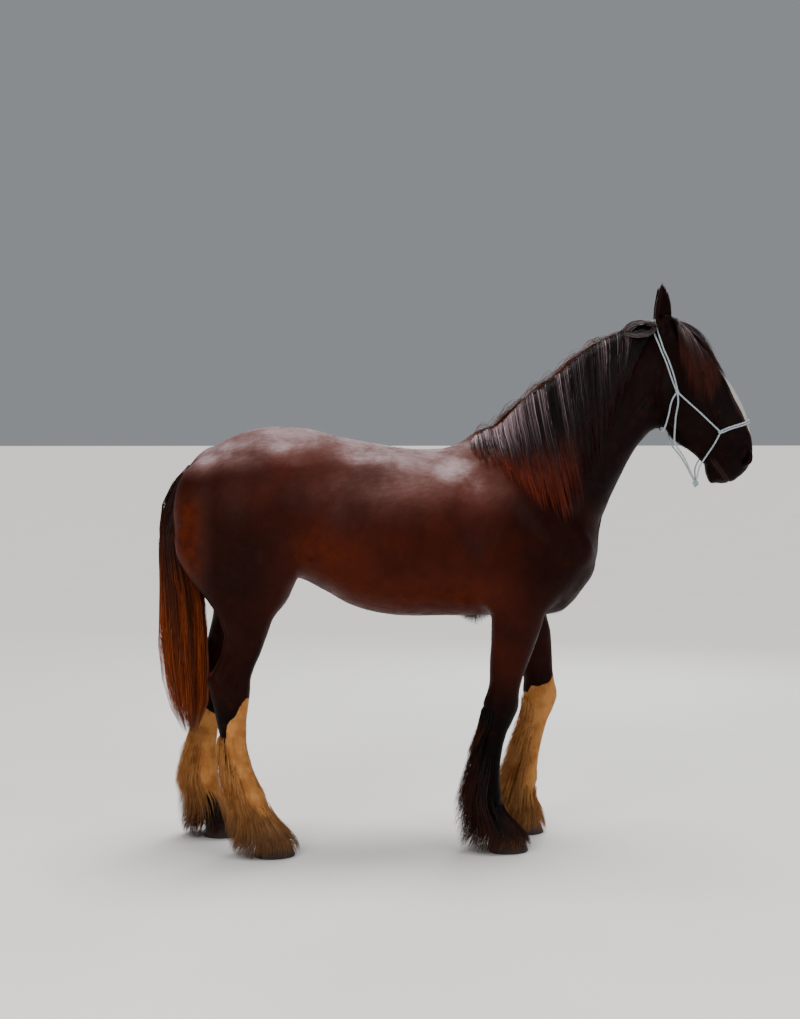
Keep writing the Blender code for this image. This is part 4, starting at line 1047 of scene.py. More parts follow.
def strand_triangles(rings):
    """Triangles of one three-sided strand, with a cap at its root and a point at its tip."""
    last = (rings - 2) * 3
    triangles = [(0, 1, 2)]
    for low in range(0, last, 3):
        for k in range(3):
            after = (k + 1) % 3
            triangles += [(low + k, low + 3 + k, low + 3 + after), (low + k, low + 3 + after, low + after)]
    return np.array(triangles + [(last + k, last + 3, last + (k + 1) % 3) for k in range(3)])


def strand_object(name, paths, widths, outward, roots_uv, marks, seed, flatness=0.5, dust_sheen=0.0):
    """Closed, tapered, three-sided strands.

    paths is (count, rings, 3) from root to tip, widths (count, rings), outward one direction, or
    one for each strand or ring.  Each strand takes one small patch of the unwrap, at its root's
    place.
    """
    count, rings, _ = paths.shape
    along = unit(np.gradient(paths, axis=1))
    outward = np.asarray(outward, float)
    side = unit(np.cross(along, outward[:, None] if outward.ndim == 2 else outward))
    out = np.cross(side, along)
    half = widths[:, :-1, None] / 2.0
    body = np.stack([paths[:, :-1] + side[:, :-1] * half * a + out[:, :-1] * half * flatness * b
                     for a, b in ((-1.0, -0.5), (1.0, -0.5), (0.0, 1.0))], axis=2)
    per_strand = (rings - 1) * 3 + 1
    vertices = np.concatenate([body.reshape(count, -1, 3), paths[:, -1:]], axis=1)
    first = per_strand * np.arange(count)[:, None, None]
    faces = (strand_triangles(rings)[None] + first).reshape(-1, 3)
    made = object_of(name, vertices.reshape(-1, 3), faces)

    ring_share = np.append(np.repeat(np.linspace(0.0, 1.0, rings)[:-1], 3), 1.0)
    across = np.append(np.tile((0.0, 0.5, 1.0), rings - 1), 0.5)
    patch = np.stack([across, ring_share], axis=1) - 0.5
    uv = np.clip(roots_uv, 0.002, 0.998)[:, None, :] + patch[None] * PATCH
    layer = made.data.uv_layers.new(name="OFBake")
    layer.data.foreach_set("uv", uv.reshape(-1, 2)[faces.ravel()].astype(np.float32).ravel())

    chance = np.random.default_rng(seed).random(count)
    # the lock layer's blue is the share of painted sheen, with some real dust, that the coat's tufts carry
    by_strand = np.repeat(in_columns(count, chance, dust_sheen, 1.0), per_strand, axis=0)
    set_colours(made.data, "lock", np.column_stack([np.tile(ring_share, count), by_strand]))
    set_colours(made.data, "marks", np.repeat(np.broadcast_to(marks, (count, 4)), per_strand, axis=0))
    return made


def in_two(name, seed, *parts):
    """Strands as two objects, so that neither is too large; each part has a row for each strand."""
    half = len(parts[0]) // 2
    return [strand_object(f"{name}_{number + 1}", *(part[cut] for part in parts), seed + number)
            for number, cut in enumerate((slice(0, half), slice(half, None)))]


def grouped(count, together, fewest, rng):
    """How many locks there are, and the lock that each strand belongs to."""
    locks = max(fewest, int(count / together))
    return locks, rng.integers(0, locks, count)


def chart(first, first_span, second, second_span, edge=0.02):
    """Places on the unwrap, from two measures and the span of each."""
    inner = (edge, 1.0 - edge)
    return np.stack([np.interp(first, first_span, inner), np.interp(second, second_span, inner)], axis=1)


def round_chart(angle, height, span):
    return chart((angle / (2.0 * math.pi)) % 1.0, (0.0, 1.0), height, span)


def tapered(count, shares, width, rng, tip=0.15, root=0.7):
    """Widths of strands: a little thinner at the root, and thin at the tip."""
    profile = root + (1.0 - root) * ramp(shares, 0.0, 0.25)
    profile = profile * (1.0 - (1.0 - tip) * shares ** 2.2)
    return width * (0.7 + 0.6 * rng.random(count))[:, None] * profile[None, :]


def waves(count, shares, size, turns, rng, lock=None):
    """Small sideways waves shared by the strands of one lock."""
    phases = rng.random((count if lock is None else lock.max() + 1, 2)) * 2.0 * math.pi
    if lock is not None:
        phases = phases[lock]
    angle = shares[None, :] * turns * 2.0 * math.pi
    both = np.stack([np.sin(angle + phases[:, :1]), np.sin(angle + phases[:, 1:])], axis=-1)
    return size * shares[None, :, None] * both


CREST_SPAN = (0.04, 0.75)      # of the mane's roots, for the unwrap
CREST_HALF = (-0.03, 0.03)


def make_mane():
    """The long mane, which falls on the right from the crest."""
    rng, count, width, tints = planned("mane")
    locks, lock = grouped(count, 16, 20, rng)
    lock_x = 0.046 + 0.702 * rng.random(locks) ** 0.74
    lock_reach = rng.uniform(0.70, 1.04, locks)
    lock_reach *= np.interp(lock_x, (0.05, 0.22), (0.48, 1.0)) ** rng.random(locks)
    lock_layer = rng.random(locks)
    root_x = np.clip(lock_x[lock] + rng.normal(0.0, 0.0060, count), 0.044, 0.752)
    tip_root = lock_x[lock] + (root_x - lock_x[lock]) * 0.30
    reach = lock_reach[lock] * rng.uniform(0.86, 1.0, count)
    reach *= np.interp(root_x, (0.04, 0.26), (0.50, 1.0)) ** rng.random(count)
    layer = np.clip(lock_layer[lock] + rng.normal(0.0, 0.10, count), 0.0, 1.0)
    root_y = np.clip(rng.normal(-0.002, 0.010, count), -0.022, 0.020)

    root = marched(in_columns(count, root_x, root_y, ABOVE), DOWN, ROOT_DEEP)
    fall = np.array(MANE_FALL).T
    tip_x, tip_z = (np.interp(tip_root, fall[0], column)[:, None] for column in fall[1:])
    shares = np.array([0.0, 0.035, 0.085, 0.17, 0.30, 0.46, 0.64, 0.82, 1.0])
    travel = shares * reach[:, None]
    thick = np.interp(root_x, (0.04, 0.26), (0.12, 1.0))
    lift = ((0.005 + 0.018 * layer) * thick)[:, None] * hump((shares - 0.045) / 0.045)
    sway = waves(count, shares, 0.0055, 1.6, rng, lock)
    fine = waves(count, shares, 0.0022, 3.1, rng)
    x = root[:, :1] + (tip_x - root[:, :1]) * travel ** 1.25 + sway[..., 0] + fine[..., 0]
    z = root[:, 2:] + (tip_z - root[:, 2:]) * travel + lift

    clearance = (thick * layer)[:, None] * (0.018 - 0.010 * shares) + 0.0020 * rng.random((count, 1)) + 0.003
    side = hung_beside(x, z, -0.42, clearance)
    paths = np.stack([x, np.minimum(side, root_y[:, None] - 0.004 * (shares > 0)), z], axis=2)
    paths[:, 0] = root
    paths[..., 1] += sway[..., 1] * 0.25
    widths = tapered(count, shares, width, rng) * np.interp(root_x, (0.04, 0.22), (0.65, 1.0))[:, None]
    unwrap = chart(root_x, CREST_SPAN, root_y + rng.normal(0, 0.004, count), CREST_HALF)

    low = np.interp(tip_root, (0.34, 0.44), (1.0, 0.08)) * (0.45 + 0.55 * rng.random(locks)[lock])
    # pale roots, a painted sheen: on chosen locks, and strongest over the withers
    pale = rng.random(locks)[lock] * rng.random(count)
    withers_sheen = rng.uniform(0.1, 1.0, count) ** 2 * 2.4 * ramp(root_x, 0.34, 0.10)
    pale = np.maximum(pale ** 2.4 * np.interp(root_x, (0.30, 0.60), (1.3, 1.0)), withers_sheen)
    marks = in_columns(count, pale * ramp(root_x, 0.700, 0.640), 1.0, low, layer)
    outward = np.tile((0.0, -1.0, 0.35), (count, 1))
    return in_two("mane", tints, paths, widths, outward, unwrap, marks)


def hung_beside(x, z, from_y, clearance):
    """The y of strands brought from the right to a clearance from the skin."""
    start = np.stack([x, np.full_like(x, from_y), z], axis=2)
    return marched(start, SIDEWAYS, clearance, 40)[..., 1]


def forehead_height(x):
    """Height of the head's upper outline at x."""
    places = np.linspace(-0.03, 0.62, 120)
    line = POLL + places[:, None] * HEAD_AXIS + columns_at(HEAD, places)[0][:, None] * HEAD_UP
    return np.interp(x, line[:, 0], line[:, 2])


def softened(paths, passes=2):
    """Rounds the bends between a strand's ends."""
    for _ in range(passes):
        paths[:, 1:-1] = (paths[:, :-2] + 2.0 * paths[:, 1:-1] + paths[:, 2:]) / 4.0
    return paths


# shares along a strand of the forelock, where its rings are
FALL = np.array([0.0, 0.07, 0.16, 0.27, 0.40, 0.54, 0.68, 0.84, 1.0])


def near_side_falls(count, rng):
    """Strands that go forward over the brow and hang straight down the near side of the face."""
    locks, lock = grouped(count, 14, 12, rng)
    hang = 0.866 + 0.150 * rng.random(locks) ** 0.85
    end = np.interp(hang, (0.87, 0.90, 0.95, 1.00, 1.02), (1.790, 1.725, 1.690, 1.690, 1.735))
    end = end + rng.uniform(-0.012, 0.080, locks)
    hang_x = hang[lock] + rng.normal(0.0, 0.0045, count)
    end_z = end[lock] + np.abs(rng.normal(0.0, 0.022, count))
    layer = np.clip(rng.random(locks)[lock] + rng.normal(0, 0.12, count), 0, 1)
    root_along = rng.uniform(-0.026, 0.022, count)
    root_y = rng.normal(-0.006, 0.013, count)
    root = POLL + root_along[:, None] * HEAD_AXIS + 0.075 * HEAD_UP + root_y[:, None] * SIDEWAYS
    root = marched(root, -HEAD_UP, ROOT_DEEP)
    corner_z = forehead_height(hang_x) + 0.004
    first, second, third = (1 - FALL) ** 2, 2 * FALL * (1 - FALL), FALL ** 2
    sway = waves(count, FALL, 0.0050, 1.5, rng, lock)
    fine = waves(count, FALL, 0.0016, 2.7, rng)
    x = root[:, :1] * first + hang_x[:, None] * (second + third) + sway[..., 0] + fine[..., 0]
    z = root[:, 2:] * first + corner_z[:, None] * second + end_z[:, None] * third
    brow_x = np.linspace(0.80, 1.10, 60)
    front = np.interp(z, forehead_height(brow_x)[::-1], brow_x[::-1])
    layer_here = layer[:, None]
    puff = hump((FALL - 0.26) / 0.20)
    x = np.minimum(x, np.maximum(front - 0.012 + 0.026 * layer_here * puff, root[:, :1]))
    clearance = 0.0030 + layer_here * 0.0085 + (0.010 + 0.012 * layer_here) * puff
    hung = hung_beside(x, z, -0.24, clearance)
    ease = ramp(FALL, 0.0, 0.30)
    y = root_y[:, None] * (1.0 - ease) + np.minimum(hung, -0.004) * ease + sway[..., 1] * 0.4
    paths = softened(np.stack([x, softened(y, 1), z], axis=2))
    paths[:, 1:] = kept_out(paths[:, 1:], clearance[:, 1:] * 0.8)
    paths[:, 0] = root
    return paths, np.tile(HEAD_UP * 0.6 - SIDEWAYS, (count, 1)), layer, root_along, root_y


def brow_falls(count, rng):
    """Shorter strands that lie over the forehead."""
    locks, lock = grouped(count, 14, 8, rng)
    turn = rng.uniform(-0.62, 0.95, locks)
    end = (0.170 + 0.130 * rng.random(locks)) * np.interp(turn, (-0.6, 0.0, 0.9), (0.75, 0.95, 1.1))
    turn = turn[lock] + rng.normal(0.0, 0.05, count)
    end = end[lock] * rng.uniform(0.85, 1.05, count)
    layer = np.clip(rng.random(locks)[lock] + rng.normal(0, 0.1, count), 0, 1)
    root_along = rng.uniform(-0.024, 0.020, count)
    root_turn = rng.normal(0.0, 0.20, count)
    along = root_along[:, None] + (end - root_along)[:, None] * FALL
    around = root_turn[:, None] + (turn - root_turn)[:, None] * ramp(FALL, 0.0, 0.9)
    sway = waves(count, FALL, 0.0060, 1.4, rng, lock)
    inward = -(np.cos(around)[..., None] * HEAD_UP - np.sin(around)[..., None] * SIDEWAYS)
    paths = POLL + along[..., None] * HEAD_AXIS - inward * 0.30
    loose = 0.028 * (rng.random(locks) < 0.14)[lock] * rng.random(count)
    puff = (0.010 + loose + 0.034 * layer)[:, None] * hump((FALL - 0.34) / 0.26)
    clearance = 0.0030 + layer[:, None] * 0.0060 + puff
    clearance[:, 0] = ROOT_DEEP
    paths = marched(paths, inward.reshape(-1, 3), clearance, 40, 0.05)
    paths = softened(paths, 5) + np.cross(inward, HEAD_AXIS) * (sway[..., :1] * 0.8)
    return paths, -inward[:, 3], layer, root_along, root_turn * 0.07


def make_forelock():
    """The forelock: its near side's falls and those over the brow."""
    rng, count, width, tints = planned("forelock")
    near = near_side_falls(int(count * 0.55), rng)
    brow = brow_falls(int(count * 0.45), rng)
    paths, outward, layer, root_along, root_y = (np.concatenate(pair) for pair in zip(near, brow))
    count = len(paths)
    widths = tapered(count, FALL, width, rng)
    unwrap = chart(root_along, (-0.03, 0.04), root_y, (-0.05, 0.05))
    # painted sheen on the outer layers of the forelock
    pale = np.clip(layer * rng.uniform(0.2, 1.15, count), 0.0, 1.0) ** 3
    marks = in_columns(count, pale, 1.0, rng.uniform(0.1, 0.9, count), layer)
    return strand_object("forelock_hair", paths, widths, outward, unwrap, marks, tints)


def make_mane_loop():
    """Two twists of mane behind the ear, arched above and below a dark gap."""
    rng, count, width, tints = planned("mane_loop")
    upper = rng.random(count) < 0.5
    shares = np.array([0.0, 0.10, 0.24, 0.40, 0.56, 0.72, 0.87, 1.0])
    arch_x = np.interp(shares, (0.0, 0.5, 1.0), (0.650, 0.712, 0.764))
    bend = 4.0 * shares * (1.0 - shares)
    arch_z = 1.972 + 0.020 * shares + np.where(upper, 1.0, -0.62)[:, None] * 0.034 * bend
    spin = rng.random(count)[:, None] * 2 * math.pi + shares * np.where(upper, 2.2, -2.2)[:, None]
    thick = 0.0075 * np.sqrt(rng.random(count))[:, None] * (0.55 + 0.45 * bend)
    x = arch_x + rng.normal(0.0, 0.006, count)[:, None] + thick * np.cos(spin)
    z = arch_z + thick * np.sin(spin) + rng.normal(0.0, 0.0015, count)[:, None]
    clearance = 0.006 + 0.026 * np.sqrt(bend) + thick * np.cos(spin + 1.0)
    y = np.minimum(hung_beside(x, z, -0.30, clearance), -0.010)
    paths = np.stack([x, y, z], axis=2)
    paths[:, 0] = kept_out(paths[:, 0], ROOT_DEEP / 2.0)
    widths = tapered(count, shares, width, rng, tip=0.3)
    unwrap = np.stack([rng.random(count) * 0.9 + 0.05, rng.random(count) * 0.9 + 0.05], axis=1)
    # first column: painted highlights on some strands of the loop
    marks = in_columns(count, rng.random(count) ** 2, 1.0, 0.10, rng.random(count))
    return strand_object("mane_loop", paths, widths, (0.0, -1.0, 0.5), unwrap, marks, tints)


def make_crest_wisps():
    """Loose locks that lie back along the top of the neck."""
    rng, count, width, tints = planned("crest_wisps")
    locks, lock = grouped(count, 10, 8, rng)
    lock_x = rng.uniform(0.10, 0.66, locks)
    lock_long = rng.uniform(0.05, 0.14, locks)
    lock_rise = 0.006 + 0.032 * rng.random(locks) ** 2
    lock_aim = rng.uniform(-1.0, 0.15, locks)
    root_x = lock_x[lock] + rng.normal(0.0, 0.010, count)
    root_y = rng.normal(-0.002, 0.008, count)
    shares = np.array([0.0, 0.10, 0.25, 0.42, 0.60, 0.80, 1.0])
    long = lock_long[lock] * rng.uniform(0.75, 1.1, count)
    x = root_x[:, None] - long[:, None] * shares * 0.92
    y = root_y[:, None] + (lock_aim[lock] * 0.030)[:, None] * shares ** 1.5
    y = y + waves(count, shares, 0.005, 1.1, rng, lock)[..., 0]
    rise = lock_rise[lock] * rng.uniform(0.05, 1.0, count)
    clearance = 0.001 + rise[:, None] * np.sin(math.pi * shares ** 0.8) + 0.004 * rng.random((count, 1))
    clearance[:, 0] = ROOT_DEEP / 2.0
    paths = marched(np.stack([x, y, np.full_like(x, ABOVE)], axis=2), DOWN, clearance, 40)
    widths = tapered(count, shares, width, rng)
    unwrap = chart(root_x, CREST_SPAN, root_y, CREST_HALF)
    marks = in_columns(count, 0.5 * rng.random(count), 1.0, rng.uniform(0.15, 0.75, count), rng.random(count))
    return strand_object("crest_wisps", paths, widths, -DOWN, unwrap, marks, tints)


def straight(roots, aims, longs, shares):
    """Strands that leave their roots straight along their aims."""
    return roots[:, None] + aims[:, None] * (longs[:, None] * shares)[..., None]


def make_belly_fringe():
    """The longer hair along the middle of the belly, just behind the elbows."""
    rng, count, width, tints = planned("belly_fringe")
    x = rng.normal(0.075, 0.036, count)
    y = rng.normal(0.0, 0.024, count)
    root = marched(in_columns(count, x, y, 0.70), -DOWN, -0.0015, 40)
    long = (0.012 + 0.036 * rng.random(count) ** 1.6) * hump((x - 0.085) / 0.060)
    shares = np.array([0.0, 0.3, 0.65, 1.0])
    aim = unit(in_columns(count, rng.normal(-0.20, 0.25, count), rng.normal(0.0, 0.15, count), -1.0))
    paths = straight(root, aim, long, shares)
    widths = tapered(count, shares, width, rng)
    return strand_object("belly_fringe", paths, widths, (1.0, 0.0, 0.0), trunk_chart(root),
                         (0.0, 0.1, 0.5, 0.0), tints)


def make_tail():
    """The tail's locks, from the dock down to their uneven ends."""
    rng, count, width, tints = planned("tail")
    locks, lock = grouped(count, 18, 20, rng)
    lock_angle = rng.random(locks) * 2.0 * math.pi
    lock_deep = np.sqrt(rng.uniform(0.10, 1.0, locks))
    lock_root = rng.uniform(1.20, 1.462, locks)
    lock_end = 0.425 + 0.44 * rng.random(locks) ** 1.8
    angle = lock_angle[lock] + rng.normal(0.0, 0.10, count)
    deep = np.clip(lock_deep[lock] + rng.normal(0.0, 0.05, count), 0.05, 1.0)
    root_z = np.clip(lock_root[lock] + rng.normal(0.0, 0.010, count), 1.19, 1.467)
    end_z = lock_end[lock] + rng.normal(0.0, 0.018, count) ** 2 * 18 + 0.004
    shares = np.array([0.0, 0.06, 0.16, 0.29, 0.44, 0.60, 0.75, 0.88, 1.0])
    z = root_z[:, None] + (end_z - root_z)[:, None] * shares
    front, back, half = columns_at(TAIL, z)
    spread = deep[:, None] * (0.62 + 0.38 * ramp(shares, 0.0, 0.14))
    spread[:, 0] *= 0.6
    spread = spread * (1.0 - 0.12 * shares ** 3)
    sway = waves(count, shares, 0.010, 1.3, rng, lock)
    fine = waves(count, shares, 0.0030, 3.4, rng)
    shift = (sway + fine) * np.clip(half / 0.08, 0.15, 1.0)[..., None] * (0.7, 1.0)
    x = (front + back) / 2 + (front - back) / 2 * spread * np.cos(angle)[:, None]
    y = half * spread * np.sin(angle)[:, None]
    paths = np.stack([x + shift[..., 0], y + shift[..., 1], z], axis=2)
    outward = in_columns(count, np.cos(angle), np.sin(angle), 0.0)
    widths = tapered(count, shares, width, rng)
    rear = ramp(-np.cos(angle), -0.6, 0.8)
    redness = 0.18 + 0.62 * rng.random(locks)[lock] ** 1.2 + 0.35 * rear * rng.random(count)
    marks = in_columns(count, 0.3 * rng.random(locks)[lock], 1.0, np.clip(redness, 0.0, 1.0), deep)
    return in_two("tail", tints, paths, widths, outward, round_chart(angle, root_z, (1.19, 1.48)), marks)


def round_limb(name, table, z, angle):
    """Points on a profile round a limb; angle is 0 in front and pi behind."""
    y, line = LIMBS[name]
    front, back, half = columns_at(table, z)
    across, along = np.cos(angle), np.sin(angle)
    x = columns_at(line, z)[0] + np.where(across > 0.0, front, back) * across
    return np.stack([x, y + half * along, z], axis=-1)


def make_feather(name, number):
    """A third of the locks hang over the hoof all round, the rest down the back of the limb."""
    rng, count, width, tints = planned("feather", number)
    fore = name.startswith("fore")
    locks, lock = grouped(count, 9, 24, rng)
    low = rng.random(locks) < 0.36
    top = 0.555 if fore else 0.458
    lock_z = np.where(low, rng.uniform(0.085, 0.190, locks), 0.13 + (top - 0.13) * rng.random(locks))
    all_round = rng.uniform(-math.pi, math.pi, locks)
    to_rear = math.pi + rng.normal(0.0, 0.62, locks) * np.interp(lock_z, (0.2, 0.45), (1.15, 0.75))
    lock_angle = np.where(low, all_round, to_rear)
    high_long = np.interp(lock_z, (0.13, 0.26, 0.40, 0.47, 0.55), (0.150, 0.200, 0.190, 0.150, 0.120))
    lock_long = np.where(low, rng.uniform(0.085, 0.150, locks), high_long * rng.uniform(0.75, 1.2, locks))
    lock_out = 1.0 - 0.62 * rng.random(locks) ** 2.6
    root_z = np.clip(lock_z[lock] + rng.normal(0.0, 0.014, count), 0.078, top)
    angle = lock_angle[lock] + rng.normal(0.0, 0.14, count)
    long = lock_long[lock] * rng.uniform(0.80, 1.16, count)
    end_z = np.maximum(root_z - long, 0.0035 + 0.024 * rng.random(count) ** 2)
    out = np.clip(lock_out[lock] + rng.normal(0.0, 0.08, count), 0.12, 1.0)

    shares = np.array([0.0, 0.14, 0.34, 0.56, 0.79, 1.0])
    z = root_z[:, None] + (end_z - root_z)[:, None] * shares
    turned = angle[:, None] + 0.10 * np.sin(angle)[:, None] * shares ** 2
    limb = round_limb(name, profile_of(name), np.maximum(z, 0.075), turned)
    hoof = round_limb(name, HOOF, np.minimum(z, HOOF_TOP), turned)
    paths = np.where((z < HOOF_TOP + 0.01)[..., None], hoof, limb)
    shift = round_limb(name, FORE_FEATHER if fore else HIND_FEATHER, z, turned) - paths
    outwards = np.stack([np.cos(turned), np.sin(turned), np.zeros_like(turned)], axis=-1)
    room = np.maximum((shift * outwards).sum(axis=-1), 0.0015)
    leave = 0.0025 + room * out[:, None] * shares ** 0.75
    leave[:, 0] = -0.0055
    paths = paths + outwards * leave[..., None]
    paths[..., 2] = z
    sway = waves(count, shares, 0.0038, 1.0, rng, lock)
    paths[..., :2] += sway * 0.6 + waves(count, shares, 0.0018, 2.0, rng)
    widths = tapered(count, shares, width, rng)

    marks = markings(paths[:, 0])
    marks[:, 3] = 0.0
    if not fore:
        marks[:, 0] = np.maximum(marks[:, 0], paths[:, 0, 2] > 0.20)
    marks[:, 2] = np.clip(0.55 * rng.random(locks)[lock] + 0.60 * out, 0.0, 1.0)
    unwrap = round_chart(angle, root_z, (0.07, top))
    return strand_object(f"feather_{name}", paths, widths, outwards[:, 2], unwrap, marks, tints)


# ---------------------------------------------------------------- short coat
def scattered(skin, count, weight_of, rng):
    """Places on the skin, with their normals, chosen by area and weight."""
    mesh = skin.data
    mesh.calc_loop_triangles()
    corners = np.empty(len(mesh.loop_triangles) * 3, np.int32)
    mesh.loop_triangles.foreach_get("vertices", corners)
    corners = corners.reshape(-1, 3)
    places, normals = places_of(mesh), normals_of(mesh)
    a, b, c = (places[corners[:, k]] for k in range(3))
    area = np.linalg.norm(np.cross(b - a, c - a), axis=1)
    weight = area * weight_of((a + b + c) / 3.0, normals[corners[:, 0]])
    chosen = corners[rng.choice(len(corners), size=count, p=weight / weight.sum())]
    first, second = rng.random(count), rng.random(count)
    flip = first + second > 1.0
    first, second = np.where(flip, 1 - first, first), np.where(flip, 1 - second, second)
    shares = np.stack([1 - first - second, first, second], axis=1)[..., None]
    return (places[chosen] * shares).sum(axis=1), unit((normals[chosen] * shares).sum(axis=1))


def trunk_weight(points, normals):
    """More hair where it breaks the form: under the belly, on the breast and between limbs."""
    x, _, z = points.T
    body = (1.0 - head_share(points)) * (z > 0.90)
    under = ramp(-normals[:, 2], 0.2, 0.9) * 2.0
    breast = ramp(x, 0.40, 0.52) * 1.5
    return body * (0.7 + under + breast)


def rear_weight(points, normals):
    return trunk_weight(points, normals) * (points[:, 0] < 0.0)


def front_weight(points, normals):
    return trunk_weight(points, normals) * (points[:, 0] >= 0.0)


def head_weight(points, normals):
    places = head_places(points)
    along, up, _ = places.T
    jaw = ramp(up, -0.09, -0.15) * ramp(along, 0.52, 0.40)
    nose = (along > 0.575) & (up > -0.03)
    bare = (eye_distance(points) < 0.026) | nose | (mouth_gap(places) < 0.006)
    return head_share(points) * (0.6 + 2.0 * jaw) * ~bare


def limb_weight(points, normals):
    z = points[:, 2]
    return ramp(z, 0.98, 0.88) * (z > 0.085) * (0.7 + 0.8 * ramp(z, 0.55, 0.40))


TUFT_FLATNESS = 0.22


def make_tufts(name, skin, weight_of, chart_of, length, lift):
    """Short tufts that lie along the skin."""
    rng, count, width, tints = planned(name)
    roots, normals = scattered(skin, count, weight_of, rng)
    flow = lie_of_coat(roots, normals)
    flow = unit(flow + np.cross(normals, flow) * rng.normal(0.0, 0.16, count)[:, None])
    along = flow * (length(roots) * rng.uniform(0.7, 1.25, count))[:, None]
    rise = normals * (lift(roots, normals) * rng.uniform(0.6, 1.3, count))[:, None]
    paths = [roots - normals * 0.0006, roots + along * 0.5 + rise * 0.62, roots + along + rise]
    paths = np.stack(paths, axis=1)
    widths = tapered(count, np.array([0.0, 0.5, 1.0]), width, rng, root=0.8)
    made = strand_object(name, paths, widths, normals, chart_of(roots), markings(roots), tints,
                         TUFT_FLATNESS, dust_sheen_share(roots, normals))
    vertices_each = len(made.data.vertices) // count
    made.data.normals_split_custom_set_from_vertices(np.repeat(normals, vertices_each, axis=0).tolist())
    return made


FULL_TURN = (-math.pi, math.pi)


def trunk_chart(points):
    """An unwrap of the body: along it, and round it from the belly."""
    x, y, z = points.T
    angle = np.arctan2(y, -(z - 1.25 - 0.75 * ramp(x, 0.2, 0.75)))
    return chart(x, (-1.06, 0.80), angle, FULL_TURN, 0.01)


def head_chart(points):
    along, up, side = head_places(points).T
    return chart(along, (-0.06, 0.66), np.arctan2(side, up + 0.02), FULL_TURN, 0.01)


def limb_chart(points):
    """The four limbs side by side, each unrolled round its line."""
    x, y, z = points.T
    number, line_x, side_y = limb_at(points)
    angle = np.arctan2(y - side_y, x - line_x)
    u = (number + np.interp(angle, FULL_TURN, (0.03, 0.97))) / 4.0
    return np.stack([u, np.interp(z, (0.07, 1.0), (0.01, 0.99))], axis=1)


def make_short_coat(skin):
    """The short coat's tufts, in four pieces."""
    def trunk_length(points):
        under = ramp(points[:, 2], 0.98, 0.90) * ramp(points[:, 0], -0.30, 0.02)
        return 0.014 + 0.016 * under

    def trunk_lift(points, normals):
        return 0.0006 + 0.004 * ramp(-normals[:, 2], 0.5, 1.0) * ramp(points[:, 0], -0.50, 0.05)

    def head_length(points):
        return 0.007 + 0.010 * ramp(head_places(points)[:, 1], -0.10, -0.16)

    def head_lift(points, normals):
        return 0.0003 + 0.0030 * ramp(head_places(points)[:, 1], -0.12, -0.17)

    def limb_length(points):
        return 0.012 + 0.010 * ramp(points[:, 2], 0.60, 0.40)

    def limb_lift(points, normals):
        return 0.0008 + 0.0020 * ramp(points[:, 2], 0.60, 0.40)

    trunk = (trunk_chart, trunk_length, trunk_lift)
    return [
        make_tufts("coat_barrel", skin, rear_weight, *trunk),
        make_tufts("coat_shoulder", skin, front_weight, *trunk),
        make_tufts("coat_head", skin, head_weight, head_chart, head_length, head_lift),
        make_tufts("coat_limbs", skin, limb_weight, limb_chart, limb_length, limb_lift),
    ]


# ---------------------------------------------------------------- ears, eyes, hooves
# share of the length, half width, depth, wall, lean back
EAR = [
    (-0.22, 0.034, 0.034, 0.058, 0.000), (-0.08, 0.033, 0.032, 0.054, 0.000),
    (0.00, 0.034, 0.031, 0.050, 0.000), (0.14, 0.040, 0.031, 0.036, 0.001),
    (0.32, 0.044, 0.028, 0.007, 0.002), (0.52, 0.040, 0.023, 0.0035, 0.003),
    (0.72, 0.029, 0.0165, 0.0030, 0.005), (0.88, 0.0155, 0.0095, 0.0028, 0.009),
    (1.00, 0.0012, 0.0030, 0.0016, 0.014),
]
EAR_RINGS = 34
EAR_STEPS = 22
EAR_RIM = 0.0035


def make_ear(name, side):
    """A leaf-shaped ear, hollow to the front, with rolled edges."""
    base, axis, forward, across = ear_frame(side)
    share = np.linspace(EAR[0][0], 1.0, EAR_RINGS)[:, None]
    half, depth, wall, lean = columns_at(EAR, share)
    turn = np.linspace(0.0, math.pi, EAR_STEPS)
    fold = turn[::-1][1:-1]
    wide = half * np.append(np.cos(turn), 0.92 * np.cos(fold)) * (1.0 - 0.10 * ramp(share, 0.2, 0.5))
    inner = EAR_RIM - (depth - wall + EAR_RIM) * np.sin(fold) ** 1.15
    deep = np.concatenate([-depth * np.sin(turn), inner], axis=1)
    middle = base + axis * (EAR_LENGTH * share) - forward * lean
    return ring_object(name, middle[:, None] + wide[..., None] * across + deep[..., None] * forward)


def ring_quads(rings, sides):
    """Quads between neighbouring rings of a tube's vertices."""
    low = np.arange(rings - 1)[:, None] * sides
    here = low + np.arange(sides)
    after = low + (np.arange(sides) + 1) % sides
    return np.stack([here, after, after + sides, here + sides], axis=-1).reshape(-1, 4)


def ring_object(name, rings):
    """A closed tube through rings of points, with a point at each end."""
    count, sides, _ = rings.shape
    vertices = np.concatenate([rings.reshape(-1, 3), [rings[0].mean(axis=0), rings[-1].mean(axis=0)]])
    made = object_of(name, vertices, ring_quads(count, sides))
    work = bmesh.new()
    work.from_mesh(made.data)
    work.verts.ensure_lookup_table()
    for start, centre in ((0, -2), ((count - 1) * sides, -1)):
        for k in range(sides):
            work.faces.new((work.verts[start + k], work.verts[start + (k + 1) % sides], work.verts[centre]))
    bmesh.ops.recalc_face_normals(work, faces=work.faces)
    work.to_mesh(made.data)
    work.free()
    made.data.shade_smooth()
    return made


def make_ears(skin):
    """Makes both ears and joins them to the skin."""
    made = [make_ear(f"ear_skin_{name}", side) for name, side in SIDES.items()]
    for ear in made:
        count = len(ear.data.vertices)
        set_colours(ear.data, "marks", in_columns(count, 0.0, 0.8, 0.0, 0.0))
        set_colours(ear.data, "region", in_columns(count, 0.0, 0.0, 1.0, 0.0))
    with bpy.context.temp_override(active_object=skin, selected_editable_objects=[skin, *made]):
        bpy.ops.object.join()


